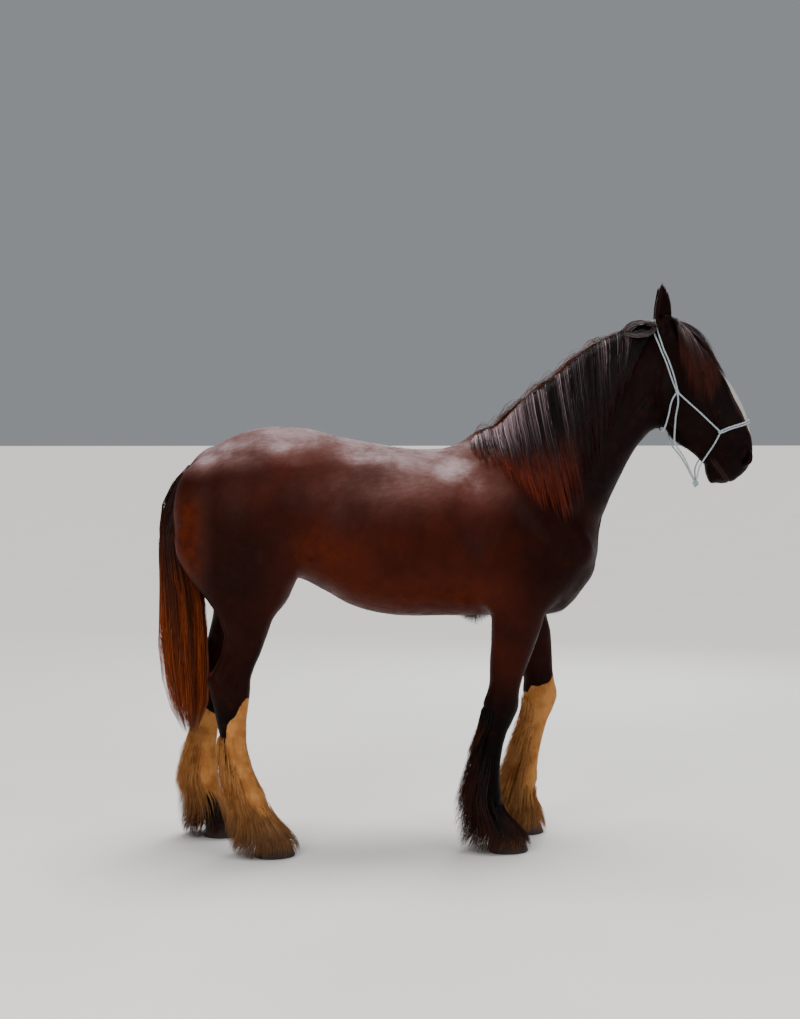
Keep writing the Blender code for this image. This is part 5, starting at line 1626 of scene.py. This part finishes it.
def make_ear_hair(name, side, number):
    """Hair that fills the hollow of the ear and edges its rim."""
    rng, count, width, tints = planned("ear_hair", number)
    base, axis, forward, across = ear_frame(side)
    rim = rng.random(count) < 0.45
    share = np.where(rim, rng.uniform(0.22, 0.97, count), rng.uniform(0.16, 0.62, count))
    half, depth, wall, lean = columns_at(EAR, share)
    edge = rng.choice((-1.0, 1.0), count)
    place = np.where(rim, edge * 0.90, rng.uniform(-0.75, 0.75, count))
    inward = np.where(rim, 0.002, -(depth - wall) * np.sqrt(1.0 - place ** 2))
    root = (base + axis * (EAR_LENGTH * share)[:, None] + across * (half * place)[:, None]
            + forward * (inward - lean - 0.001)[:, None])
    long = np.where(rim, rng.uniform(0.010, 0.022, count), rng.uniform(0.020, 0.042, count))
    aim = np.where(rim[:, None], axis * 0.75 - across * (edge * 0.55)[:, None] + forward * 0.25,
                   axis * 0.80 + forward * 0.50 - across * (place * 0.5)[:, None])
    aim = unit(aim + rng.normal(0.0, 0.12, (count, 3)))
    shares = np.array([0.0, 0.35, 0.7, 1.0])
    paths = straight(root, aim, long, shares) + axis * ((long[:, None] * shares ** 2) * 0.25)[..., None]
    widths = tapered(count, shares, width, rng)
    unwrap = chart(share, (0.1, 1.0), place, (-1, 1))
    return strand_object(f"ear_hair_{name}", paths, widths, forward, unwrap, (0.0, 1.0, 0.25, 0.0), tints)


def make_lashes_and_whiskers():
    """Upper lashes, and the sparse stiff hairs of lips and chin."""
    rng = np.random.default_rng(LASH_SEEDS[0])
    roots, aims, longs = [], [], []
    for side in SIDES.values():
        front, upper, outward = eye_axes(side)
        for _ in range(LASHES):
            at = rng.uniform(-0.86, 0.80)
            long = LID_LONG * at
            high = LID_UPPER * (1.0 - abs(at) ** LID_BEND) + 0.0006
            out = math.sqrt(max((EYE_RADIUS + 0.0022) ** 2 - long ** 2 - high ** 2, 0.0))
            roots.append(eye_centre(side) + front * long + upper * high + outward * out)
            lifted = outward * 0.85 + upper * rng.uniform(-0.05, 0.25)
            aims.append(lifted + front * (at * 0.5 + 0.2) + DOWN * 0.35)
            longs.append(rng.uniform(0.010, 0.017))
        for _ in range(WHISKERS):
            along, up = rng.uniform(0.560, 0.630), rng.uniform(-0.125, -0.030)
            root = marched(head_point(along, up, side * 0.20)[None], SIDEWAYS * -side, -0.001)[0]
            if 0.006 < side * root[1] < 0.075:
                roots.append(root)
                aims.append(np.array((0.25, side * 0.6, -0.75)) + rng.normal(0, 0.25, 3))
                longs.append(rng.uniform(0.012, 0.034))
    roots, longs = np.array(roots), np.array(longs)
    shares = np.array([0.0, 0.33, 0.66, 1.0])
    paths = straight(roots, unit(aims), longs, shares)
    paths[..., 2] -= longs[:, None] * shares ** 2 * 0.18
    widths = tapered(len(roots), shares, LASH_WIDTH, rng)
    return strand_object("lashes_and_whiskers", paths, widths, -DOWN, head_chart(roots), (0.0, 1.0, 0.0, 0.0),
                         LASH_SEEDS[1])


EYE_RINGS = 48
EYE_SIDES = 72


def make_eye(name, side):
    """An eyeball with a raised cornea; its colour layer holds iris, pupil and the iris's edge."""
    front, upper, outward = eye_axes(side)
    polar = np.linspace(0.0, math.pi, EYE_RINGS + 1)[1:-1]
    around = np.arange(EYE_SIDES) * 2.0 * math.pi / EYE_SIDES
    cornea = 0.0011 * ramp(np.degrees(polar), 44.0, 20.0)
    radius = (EYE_RADIUS - 0.0006 + cornea)[:, None]
    local = np.stack([radius * np.sin(polar)[:, None] * np.cos(around),
                      radius * np.sin(polar)[:, None] * np.sin(around),
                      radius * np.cos(polar)[:, None] * np.ones(EYE_SIDES)], axis=-1)
    rings = eye_centre(side) + local @ np.array([front, upper, outward])
    made = ring_object(f"eyeball_{name}", rings)
    away = places_of(made.data) - eye_centre(side)
    long, high = away @ front, away @ upper
    flat = np.hypot(long, high)
    seen = away @ outward > 0
    iris = ramp(flat, 0.0158, 0.0138) * seen
    pupil = ramp(np.hypot(long / 0.0082, high / 0.0046), 1.08, 0.92) * seen
    ring = hump((flat - 0.0142) / 0.0012)
    set_colours(made.data, "eye", in_columns(len(flat), iris, pupil, ring, 1.0))
    return made


HOOF_RINGS = 46
HOOF_SIDES = 72


def make_hoof(name):
    """A hoof with growth rings, a worn edge, and a coronet band."""
    y, line = LIMBS[name]
    z = np.linspace(0.0, HOOF_TOP, HOOF_RINGS)[:, None]
    front, back, half = columns_at(HOOF, z)
    angle = np.linspace(0.0, 2.0 * math.pi, HOOF_SIDES, endpoint=False)
    cos, sin = np.cos(angle), np.sin(angle)
    growth = 0.0005 * np.sin(z * 2.0 * math.pi / 0.0085) + 0.0003 * np.sin(z * 1900.0 + 1.0)
    worn = -0.0022 * ramp(z, 0.0045, 0.0)
    band = 0.0014 * hump((z - 0.064) / 0.005)
    stands = growth + worn + band - 0.0008
    power = 2.0 / np.where(cos > 0, 2.1, 2.4)
    frog = 1.0 - 0.10 * hump((angle - math.pi) / 0.22) * (0.4 + 0.6 * ramp(z, 0.05, 0.0))
    ahead = (np.where(cos > 0, front, back) + stands) * np.sign(cos) * np.abs(cos) ** power * frog
    side = (half + stands) * np.sign(sin) * np.abs(sin) ** power
    rings = np.stack(np.broadcast_arrays(line[0][1] + ahead, y + side, z), axis=-1)
    return ring_object(f"{name}_hoof_horn", rings)


# ---------------------------------------------------------------- halter
ROPE_LIFT = 0.0046             # from the skin to the middle of a rope
KNOT_LIFT = 0.0080


def head_surface(start, direction, lift):
    """Where a rope lies when it is brought to the head along a direction."""
    return marched(start[None] - direction * 0.16, direction, lift, 40)[0]


def beside(along, up, side, lift=ROPE_LIFT):
    """A place on the side of the head."""
    return head_surface(head_point(along, up, side * 0.04), SIDEWAYS * -float(side), lift)


def over(along, side_offset):
    """A place on the bridge of the nose."""
    return head_surface(head_point(along, 0.03, side_offset), -HEAD_UP, ROPE_LIFT)


def behind(x, side_offset, lift):
    """A place on the crest, behind the ears."""
    return head_surface(np.array((x, side_offset, 2.02)), DOWN, lift)


def mirrored(half):
    """Completes a route that ends on the middle plane."""
    return list(half) + [place * (1.0, -1.0, 1.0) for place in reversed(half[:-1])]


def halter_routes():
    """The ropes' routes and the knots' centres, on the skin of the head."""
    routes, knots = {}, {}
    fiador = head_point(0.590, -0.180, 0.0)
    knots["halter_fiador_knot"] = (fiador, HEAD_AXIS, 1.65)
    cheek, nose = {}, {}
    for name, side in SIDES.items():
        cheek[side] = beside(0.236, -0.088, side, KNOT_LIFT)
        nose[side] = beside(0.457, -0.011, side, KNOT_LIFT)
        knots[f"halter_cheek_knot_{name}"] = (cheek[side], HEAD_AXIS, 1.0)
        knots[f"halter_nose_knot_{name}"] = (nose[side], HEAD_UP, 1.0)
        routes[f"halter_cheek_rope_{name}"] = [
            cheek[side], beside(0.290, -0.070, side), beside(0.345, -0.050, side),
            beside(0.400, -0.030, side), nose[side]]
        routes[f"halter_chin_rope_{name}"] = [
            nose[side], beside(0.488, -0.056, side), beside(0.512, -0.098, side),
            head_point(0.545, -0.150, side * 0.030), fiador]
        routes[f"halter_jaw_rope_{name}"] = [
            cheek[side], beside(0.270, -0.102, side), beside(0.325, -0.142, side),
            head_point(0.394, -0.178, side * 0.045), head_point(0.480, -0.175, side * 0.024), fiador]
    throat = [cheek[-1] - HEAD_UP * TWIN / 2, beside(0.258, -0.124, -1), beside(0.300, -0.158, -1),
              head_point(0.338, -0.191, -0.044), head_point(0.345, -0.196, 0.0)]
    routes["halter_throat_rope"] = mirrored(throat)
    for name, shift in (("front", CROWN_TWIN / 2), ("rear", -CROWN_TWIN / 2)):
        crown = [cheek[-1] + HEAD_UP * shift * 0.4]
        crown += [beside(along, up + shift, -1)
                  for along, up in ((0.180, -0.074), (0.120, -0.062), (0.060, -0.055))]
        crown += [behind(0.766 + shift, side_offset, lift)
                  for side_offset, lift in ((-0.052, 0.006), (-0.026, 0.010), (0.0, 0.010))]
        routes[f"halter_crown_rope_{name}"] = mirrored(crown)
    for name, shift in (("upper", -TWIN / 2), ("lower", TWIN / 2)):
        noseband = [nose[-1] + HEAD_AXIS * shift, beside(0.463 + shift, 0.030, -1),
                    beside(0.470 + shift, 0.060, -1), over(0.478 + shift, -0.040),
                    over(0.482 + shift, -0.020), over(0.483 + shift, 0.0)]
        routes[f"halter_nose_rope_{name}"] = mirrored(noseband)
    return routes, knots


def even_path(route, step):
    """A smooth path through a route's points, with even steps, and its frames."""
    route = np.array(route)
    reach = np.concatenate([[0.0], np.cumsum(np.linalg.norm(np.diff(route, axis=0), axis=1))])
    at = np.linspace(0.0, reach[-1], max(4, int(reach[-1] / step)))
    path = np.stack([smooth_values(reach, route[:, c], at) for c in range(3)], axis=1)
    kernel = np.hanning(13)[1:-1]
    kernel = kernel / kernel.sum()
    ends = len(kernel) // 2
    if len(path) > 4 * ends:
        for axis in range(3):
            path[ends:-ends, axis] = np.convolve(path[:, axis], kernel, "valid")
    along = unit(np.gradient(path, axis=0))
    side = np.empty_like(path)
    last = np.cross(along[0], (0.31, 0.52, 0.79))
    for k, direction in enumerate(along):
        last = unit(last - direction * (last @ direction))
        side[k] = last
    return path, side, np.cross(along, side), at


BRAID_PITCH = 0.019
BRAID_STRANDS = 8
BRAID_SIDES = 5
ROPE_TRIM = 0.004              # cut from a rope's ends, inside its knots
KNOT_TURNS = 2.6


def braid(name, path, side, other, at, radius):
    """Strands plaited over and under each other round a path."""
    vertices, faces, tone = [], [], []
    for number in range(BRAID_STRANDS):
        way = 1.0 if number % 2 == 0 else -1.0
        phase = 2.0 * math.pi * (number // 2) / (BRAID_STRANDS // 2)
        angle = way * 2.0 * math.pi * at / BRAID_PITCH + phase
        wave = np.cos(2.0 * math.pi * at / BRAID_PITCH * (BRAID_STRANDS // 2) + way * math.pi / 2)
        out = np.cos(angle)[:, None] * side + np.sin(angle)[:, None] * other
        centre = path + out * (radius * (0.62 + 0.10 * wave))[:, None]
        along = unit(np.gradient(centre, axis=0))
        flat = np.cross(along, out)
        ring = np.arange(BRAID_SIDES) * 2.0 * math.pi / BRAID_SIDES
        tube = (centre[:, None] + flat[:, None] * (np.cos(ring) * radius * 0.46)[None, :, None]
                + out[:, None] * (np.sin(ring) * radius * 0.30)[None, :, None])
        vertices.append(tube.reshape(-1, 3))
        faces.append(number * len(vertices[0]) + ring_quads(len(at), BRAID_SIDES))
        tone.append(np.full(len(vertices[0]), float(number % 4 == 0)))
    made = object_of(f"{name}_braid", np.concatenate(vertices), np.concatenate(faces))
    tone = np.concatenate(tone)
    set_colours(made.data, "tone", in_columns(len(tone), tone, tone, tone, 1.0))
    return made


def make_rope(name, route):
    """One plaited rope along its route, cut short inside the knots at its ends."""
    path, side, other, at = even_path(route, 0.0024)
    keep = (at >= ROPE_TRIM) & (at <= at[-1] - ROPE_TRIM)
    return braid(name, path[keep], side[keep], other[keep], at[keep], ROPE_RADIUS)


def make_knot(name, centre, axis, size):
    """Turns of rope wound tightly round the place where ropes meet."""
    angle = np.linspace(0.0, KNOT_TURNS * 2.0 * math.pi, int(46 * KNOT_TURNS))
    side = unit(np.cross(axis, (0.2, 0.9, 0.3)))
    radius = 0.78 * KNOT_RADIUS * size * (1.0 - 0.12 * np.cos(angle * 0.5))
    rise = (angle / angle[-1] - 0.5) * 0.0125 * size
    route = centre + np.stack([np.cos(angle) * radius, np.sin(angle) * radius, rise], axis=1) @ np.array(
        [side, np.cross(axis, side), axis])
    return braid(name, *even_path(route, 0.0014), ROPE_RADIUS * 0.95 * size ** 0.5)


def make_halter():
    """Every rope and knot of the halter, by the node that it replaces."""
    routes, knots = halter_routes()
    made = {name: make_rope(name, route) for name, route in routes.items()}
    made.update({name: make_knot(name, *knot) for name, knot in knots.items()})
    return made


# ---------------------------------------------------------------- materials
class Paint:
    """A material's nodes, built by short calls that return sockets."""

    def __init__(self, name, roughness, **constants):
        self.material = bpy.data.materials.new(name)
        self.material.use_nodes = True
        self.tree = self.material.node_tree
        self.shader = self.tree.nodes["Principled BSDF"]
        self.shader.inputs["Roughness"].default_value = roughness
        for socket, value in constants.items():
            self.shader.inputs[socket.replace("_", " ")].default_value = value
        self.place = self.node("ShaderNodeTexCoord").outputs["Object"]

    def node(self, kind, **settings):
        made = self.tree.nodes.new(kind)
        for key, value in settings.items():
            setattr(made, key, value)
        return made

    def link(self, value, socket):
        if isinstance(value, bpy.types.NodeSocket):
            self.tree.links.new(value, socket)
        elif isinstance(value, tuple) and len(value) == 3 and socket.type == "RGBA":
            socket.default_value = (*value, 1.0)
        else:
            socket.default_value = value

    def layer(self, name):
        """The red, green, blue and alpha of a colour layer."""
        source = self.node("ShaderNodeAttribute", attribute_name=name)
        split = self.node("ShaderNodeSeparateColor")
        self.link(source.outputs["Color"], split.inputs[0])
        return (*split.outputs[:3], source.outputs["Alpha"])

    def maths(self, operation, first, second=0.0, clamp=False):
        made = self.node("ShaderNodeMath", operation=operation, use_clamp=clamp)
        self.link(first, made.inputs[0])
        self.link(second, made.inputs[1])
        return made.outputs[0]

    def times(self, first, second, clamp=False):
        return self.maths("MULTIPLY", first, second, clamp)

    def between(self, value, low, high, start=0.0, end=1.0):
        made = self.node("ShaderNodeMapRange", interpolation_type="SMOOTHSTEP")
        for number, item in enumerate((value, low, high, start, end)):
            self.link(item, made.inputs[number])
        return made.outputs[0]

    def mix(self, share, first, second, blend="MIX"):
        made = self.node("ShaderNodeMix", data_type="RGBA", blend_type=blend)
        self.link(share, made.inputs["Factor"])
        self.link(first, made.inputs["A"])
        self.link(second, made.inputs["B"])
        return made.outputs["Result"]

    def noise(self, scale, detail, place=None):
        made = self.node("ShaderNodeTexNoise")
        self.link(self.place if place is None else place, made.inputs["Vector"])
        self.link(scale, made.inputs["Scale"])
        self.link(detail, made.inputs["Detail"])
        self.link(0.55, made.inputs["Roughness"])
        return made.outputs["Fac"]

    def vector(self, operation, first, second, socket=0):
        made = self.node("ShaderNodeVectorMath", operation=operation)
        self.link(first, made.inputs[0])
        self.link(second, made.inputs[3 if operation == "SCALE" else 1])
        return made.outputs[socket]

    def streaks(self, direction, scale, stretch):
        """Noise drawn out along a direction."""
        direction = tuple(float(v) for v in unit(direction))
        along = self.vector("DOT_PRODUCT", self.place, direction, socket=1)
        back = self.vector("SCALE", direction, self.times(along, stretch - 1.0))
        return self.noise(scale, 2.0, self.vector("ADD", self.place, back))

    def bump(self, height, strength, distance):
        made = self.node("ShaderNodeBump")
        self.link(height, made.inputs["Height"])
        made.inputs["Strength"].default_value = strength
        made.inputs["Distance"].default_value = distance
        self.link(made.outputs[0], self.shader.inputs["Normal"])

    def finish(self, colour, roughness=None):
        self.link(colour, self.shader.inputs["Base Color"])
        if roughness is not None:
            self.link(roughness, self.shader.inputs["Roughness"])
        return self.material


BAY = (0.0205, 0.0032, 0.0016)
BAY_RED = (0.0430, 0.0062, 0.0022)
BAY_RUST = (0.0700, 0.0105, 0.0020)
BAY_GLINT = (0.044, 0.011, 0.007)
BLACK = (0.0020, 0.0008, 0.0007)
LIP = (0.032, 0.019, 0.016)
CREAM = (0.48, 0.215, 0.062)
TAN = (0.240, 0.082, 0.018)
OLD_CREAM = (0.19, 0.066, 0.018)
MUD = (0.090, 0.046, 0.025)
PINK = (0.20, 0.125, 0.105)
# painted sheen of the topline, with some real dust: its full colour, and its colour where it is faint
PALE_DUST_SHEEN = (0.420, 0.305, 0.315)
RED_DUST_SHEEN = (0.330, 0.150, 0.130)
BLAZE = (0.40, 0.38, 0.35)
FEATHER_BLACK = (0.0030, 0.0010, 0.0008)
FEATHER_RED = (0.060, 0.014, 0.006)
COAT_SHINE = {"Specular_IOR_Level": 0.04, "Sheen_Weight": 0.01, "Sheen_Roughness": 0.35,
              "Sheen_Tint": (0.85, 0.62, 0.66, 1.0)}
# colours of root, body and tip, the sheen, where the tip's colour starts, how far the root's goes; the root's
# colour is a painted sheen on mane, loop and forelock, and a lighter brown on the tail hair
LONG_HAIR = {
    "mane_hair": ((0.62, 0.45, 0.49), (0.003, 0.0012, 0.0012), (0.19, 0.027, 0.010), 0.01, 0.56, 0.78),
    "loop_hair": ((0.30, 0.23, 0.24), (0.006, 0.0034, 0.0032), (0.05, 0.020, 0.015), 0.02, 0.90, 1.60),
    "forelock_hair": ((0.48, 0.37, 0.37), (0.005, 0.0019, 0.0015), (0.085, 0.016, 0.007), 0.02, 0.35, 0.72),
    "tail_hair": ((0.06, 0.024, 0.016), (0.012, 0.0028, 0.0013), (0.34, 0.060, 0.0085), 0.01, 0.15, 0.25),
}


def coat_colour(paint, streaks):
    """Dark bay with black points, rust below, cream markings and tan stains."""
    white, black, rust, snip = paint.layer("marks")
    patchy = paint.noise(26.0, 4.0)
    bay = paint.mix(paint.between(paint.noise(3.5, 3.0), 0.35, 0.65), BAY, BAY_RED)
    bay = paint.mix(paint.times(rust, paint.between(patchy, 0.15, 0.75)), bay, BAY_RUST)
    dark = paint.mix(paint.between(patchy, 0.48, 0.95), BLACK, BAY)
    colour = paint.mix(black, bay, dark)
    colour = paint.mix(paint.times(rust, black), colour, LIP)
    glint = paint.times(paint.between(streaks, 0.35, 0.85, 0.0, 0.20),
                        paint.between(black, 0.2, 1.0, 1.0, 0.2))
    colour = paint.mix(glint, colour, BAY_GLINT)
    stain = paint.between(paint.noise(14.0, 5.0), 0.38, 0.66)
    cream = paint.mix(paint.times(stain, 0.75), CREAM, TAN)
    cream = paint.mix(paint.between(streaks, 0.30, 0.70, 0.0, 0.35), cream, TAN)
    cream = paint.mix(rust, cream, BLAZE)
    ragged = paint.maths("ADD", white, paint.times(paint.maths("SUBTRACT", streaks, 0.5), 0.5))
    colour = paint.mix(paint.between(ragged, 0.35, 0.62), colour, cream)
    return paint.mix(paint.between(paint.times(snip, patchy), 0.05, 0.7, 0.0, 0.8), colour, PINK)


def with_dust_sheen(paint, colour, dust_sheen_here):
    """The violet-grey bloom of the topline: a painted sheen, with some real dust."""
    patchy = paint.between(paint.noise(6.5, 5.0), 0.32, 0.66, 0.42, 1.0)
    ripples = paint.between(paint.streaks((-0.9, 0.0, -0.25), 85.0, 0.30), 0.34, 0.66, 0.88, 1.08)
    share = paint.times(paint.times(dust_sheen_here, patchy), ripples, clamp=True)
    return paint.mix(share, colour, paint.mix(paint.between(share, 0.05, 0.60), RED_DUST_SHEEN, PALE_DUST_SHEEN))


def coat_material():
    """The skin's looks: its streaks follow the lie of the coat."""
    paint = Paint("bay_coat", 0.42, **COAT_SHINE)
    # the region layer's alpha is the share of painted sheen, with some real dust
    head, neck, limb, dust_sheen_here = paint.layer("region")
    streaks = paint.streaks(TRUNK_FLOW, 420.0, 0.07)
    for share, direction, scale, stretch in (
            (limb, DOWN, 420.0, 0.09), (neck, NECK_FLOW, 420.0, 0.08), (head, HEAD_AXIS, 560.0, 0.12)):
        streaks = paint.mix(share, streaks, paint.streaks(direction, scale, stretch))
    colour = with_dust_sheen(paint, coat_colour(paint, streaks), dust_sheen_here)
    folds = paint.streaks((0.25, 0.0, 1.0), 46.0, 0.30)
    paint.bump(paint.maths("ADD", streaks, paint.times(folds, 2.6)), 0.55, 0.0012)
    return paint.finish(colour, paint.between(paint.noise(9.0, 3.0), 0.3, 0.7, 0.36, 0.52))


def tuft_material():
    """The same colours on the coat's tufts, without the fine streaks."""
    paint = Paint("bay_tufts", 0.44, **COAT_SHINE)
    # the lock layer's blue is the share of painted sheen, with some real dust
    _, chance, dust_sheen_here, _ = paint.layer("lock")
    streaks = paint.between(chance, 0.0, 1.0, 0.38, 0.66)
    return paint.finish(with_dust_sheen(paint, coat_colour(paint, streaks), dust_sheen_here))


def long_hair_material(name, root, body, tip, sheen, tip_from, root_to):
    """Hair that bleaches towards its tips where the marks say so; near the roots, strands that the marks make
    pale take the root's colour, a painted sheen on most of the hair.
    """
    paint = Paint(name, 0.40, Specular_IOR_Level=0.14, Sheen_Weight=sheen, Sheen_Roughness=0.30,
                  Sheen_Tint=(0.80, 0.72, 0.78, 1.0))
    along, chance, _, _ = paint.layer("lock")
    pale, _, bleach, _ = paint.layer("marks")
    # near the roots the root's colour, a painted sheen on mane, loop and forelock, on the strands that the
    # marks make pale
    lit = paint.times(paint.between(along, root_to, 0.0), paint.between(chance, 0.0, 1.0, 0.45, 1.0))
    colour = paint.mix(paint.times(lit, pale), body, root)
    reach = paint.times(paint.between(along, tip_from, 0.98), bleach)
    colour = paint.mix(paint.times(reach, paint.between(chance, -0.6, 0.7)), colour, tip)
    lighter = paint.mix(1.0, colour, (1.7, 1.6, 1.55), "MULTIPLY")
    return paint.finish(paint.mix(paint.between(chance, 0.45, 1.0), colour, lighter))


def feather_material():
    """Cream or black by the marks at the root, stained and reddened towards the tips."""
    paint = Paint("feather", 0.62, Specular_IOR_Level=0.10, Sheen_Weight=0.04, Sheen_Roughness=0.40)
    along, chance, _, _ = paint.layer("lock")
    white, _, redness, _ = paint.layer("marks")
    stain = paint.between(paint.noise(16.0, 4.0), 0.42, 0.70)
    cream = paint.mix(paint.times(stain, 0.85), CREAM, TAN)
    cream = paint.mix(paint.between(along, 0.35, 1.0, 0.0, 0.40), cream, TAN)
    cream = paint.mix(paint.between(chance, 0.45, 1.0, 0.0, 0.40), cream, OLD_CREAM)
    ahead, height = (paint.vector("DOT_PRODUCT", paint.place, axis, socket=1)
                     for axis in ((1.0, 0.0, 0.0), (0.0, 0.0, 1.0)))
    muddy = paint.times(paint.between(height, 0.24, 0.05, 0.0, 0.70),
                        paint.between(ahead, -0.3, 0.1, 1.0, 0.35))
    cream = paint.mix(muddy, cream, MUD)
    reddened = paint.times(paint.between(along, 0.35, 1.0), redness)
    dark = paint.mix(reddened, FEATHER_BLACK, FEATHER_RED)
    return paint.finish(paint.mix(paint.between(white, 0.35, 0.65), dark, cream))


def horn_material():
    paint = Paint("hoof_horn", 0.55, Specular_IOR_Level=0.4)
    rings = paint.streaks((0.0, 0.0, 1.0), 90.0, 6.0)
    grain = paint.streaks((0.0, 0.0, 1.0), 700.0, 0.06)
    colour = paint.mix(rings, (0.0070, 0.0050, 0.0042), (0.030, 0.020, 0.0145))
    dust = paint.between(paint.noise(60.0, 5.0), 0.50, 0.80, 0.0, 0.30)
    colour = paint.mix(dust, colour, (0.14, 0.085, 0.050))
    paint.bump(grain, 0.4, 0.0006)
    return paint.finish(colour, paint.between(grain, 0.3, 0.7, 0.45, 0.70))


def eye_material():
    paint = Paint("eye", 0.06, Specular_IOR_Level=0.35, Coat_Weight=0.12, Coat_Roughness=0.03)
    iris, pupil, ring, _ = paint.layer("eye")
    fibres = paint.noise(900.0, 2.0)
    brown = paint.mix(fibres, (0.0100, 0.0042, 0.0018), (0.030, 0.0125, 0.0048))
    colour = paint.mix(iris, (0.030, 0.018, 0.013), brown)
    colour = paint.mix(paint.times(ring, 0.8), colour, (0.006, 0.004, 0.003))
    return paint.finish(paint.mix(pupil, colour, (0.0015, 0.0018, 0.0028)))


def rope_material():
    paint = Paint("halter_rope", 0.75, Specular_IOR_Level=0.35, Sheen_Weight=0.25, Sheen_Roughness=0.5)
    tone = paint.layer("tone")[0]
    worn = paint.noise(120.0, 5.0)
    blue = paint.mix(worn, (0.20, 0.255, 0.30), (0.34, 0.40, 0.44))
    colour = paint.mix(tone, blue, (0.46, 0.50, 0.52))
    dirt = paint.between(paint.noise(34.0, 4.0), 0.50, 0.80, 0.0, 0.45)
    paint.bump(paint.noise(2600.0, 2.0), 0.5, 0.0004)
    return paint.finish(paint.mix(dirt, colour, (0.20, 0.18, 0.15)))


def floor_material():
    paint = Paint("pale_floor", 0.85, Specular_IOR_Level=0.2)
    return paint.finish(paint.mix(paint.noise(1.2, 3.0), (0.70, 0.69, 0.67), (0.76, 0.75, 0.73)))


# ---------------------------------------------------------------- stage
# the camera of the photograph's viewpoint, in the tables' frame
CAMERA_PIXELS = 1650.0       # focal length in pixels of the frame
FRAME_HIGH = 1019.0          # the frame's long side in pixels
CAMERA_AWAY = 6.35
CAMERA_HIGH = 1.60
CAMERA_YAW = math.radians(3.5)
CAMERA_PITCH = math.atan(79.5 / CAMERA_PIXELS)
CAMERA_X = -0.21


def make_camera():
    """The photograph's viewpoint, as it was worked out from the hooves."""
    data = bpy.data.cameras.new("camera")
    data.sensor_width = 36.0
    data.lens = CAMERA_PIXELS / FRAME_HIGH * data.sensor_width
    camera = bpy.data.objects.new("camera", data)
    place = (CAMERA_X - CAMERA_AWAY * math.sin(CAMERA_YAW) - MIDDLE,
             -CAMERA_AWAY * math.cos(CAMERA_YAW), CAMERA_HIGH)
    turn = Matrix.Rotation(-CAMERA_YAW, 4, "Z") @ Matrix.Rotation(math.pi / 2 - CAMERA_PITCH, 4, "X")
    camera.matrix_world = Matrix.Translation(place) @ turn
    bpy.context.scene.collection.objects.link(camera)
    bpy.context.scene.camera = camera


def make_light(name, kind, power, colour, place, target, **settings):
    """A lamp at a place, turned to its target."""
    data = bpy.data.lights.new(name, kind)
    data.energy = power
    data.color = colour
    for key, value in settings.items():
        setattr(data, key, value)
    lamp = bpy.data.objects.new(name, data)
    lamp.location = place
    lamp.rotation_euler = (Vector(target) - Vector(place)).to_track_quat("-Z", "Y").to_euler()
    bpy.context.scene.collection.objects.link(lamp)


def make_stage():
    """A pale floor, a plain sky and four lamps."""
    half = 160.0
    floor = object_of("floor", [(-half, -half, 0), (half, -half, 0), (half, half, 0), (-half, half, 0)],
                      [(0, 1, 2, 3)])
    floor.data.materials.append(floor_material())
    world = bpy.data.worlds.new("studio")
    world.use_nodes = True
    sky = world.node_tree.nodes["Background"].inputs
    sky["Color"].default_value = (0.80, 0.84, 0.90, 1.0)
    sky["Strength"].default_value = 0.32
    bpy.context.scene.world = world
    make_light("overhead", "SUN", 3.6, (1.0, 0.97, 0.95), (0.30, 0.48, 3.0), (0.0, 0.0, 0.0),
               angle=math.radians(38.0))
    centre = (0.0, 0.0, 1.2)
    for name, power, colour, place, size in (
            ("key", 170.0, (1.0, 0.96, 0.92), (-2.8, -4.4, 3.4), 2.4),
            ("fill", 70.0, (0.94, 0.96, 1.0), (3.8, -3.4, 2.2), 2.8),
            ("back", 110.0, (0.95, 0.97, 1.0), (1.5, 4.6, 3.2), 2.8)):
        make_light(name, "AREA", power, colour, place, centre, shape="DISK", size=size)


# ---------------------------------------------------------------- putting it together
def dress(piece, material, slot, *nodes):
    """Gives a piece its material, and says what it rides on and the nodes it replaces; slot is not used."""
    piece.data.materials.clear()
    piece.data.materials.append(material)
    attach(piece, "root")
    if nodes:
        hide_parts(*nodes)


def flesh_nodes():
    parts = [f"{limb}_{part}" for limb in LIMBS for part in ("upper", "cannon", "pastern")]
    return ["head", "lower_jaw", "neck", "trunk", "ear_left", "ear_right", *parts]


def main():
    hair = {name: long_hair_material(name, *looks) for name, looks in LONG_HAIR.items()}
    tufts, feathers, rope = tuft_material(), feather_material(), rope_material()
    skin = make_skin()
    paint_skin(skin)
    for piece in make_short_coat(skin):
        dress(piece, tufts, "coat")
    make_ears(skin)
    dress(skin, coat_material(), "coat", *flesh_nodes())

    first, second = make_mane()
    dress(first, hair["mane_hair"], "mane", "mane")
    dress(second, hair["mane_hair"], "mane")
    dress(make_mane_loop(), hair["loop_hair"], "mane")
    dress(make_crest_wisps(), hair["tail_hair"], "mane")
    dress(make_forelock(), hair["forelock_hair"], "mane", "forelock")
    dress(make_belly_fringe(), tufts, "coat")
    first, second = make_tail()
    dress(first, hair["tail_hair"], "tail", "tail")
    dress(second, hair["tail_hair"], "tail")
    for number, name in enumerate(LIMBS):
        slot = "feather_dark" if name == "fore_right" else "feather_white"
        dress(make_feather(name, number), feathers, slot, f"{name}_feather")
        dress(make_hoof(name), horn_material(), "hoof", f"{name}_hoof")
    for number, (name, side) in enumerate(SIDES.items()):
        dress(make_ear_hair(name, side, number), hair["forelock_hair"], "mane")
        dress(make_eye(name, side), eye_material(), "eye", f"eye_{name}")
    dress(make_lashes_and_whiskers(), hair["mane_hair"], "mane")
    for node, piece in make_halter().items():
        dress(piece, rope, "rope", node)
    make_stage()
    make_camera()


main()
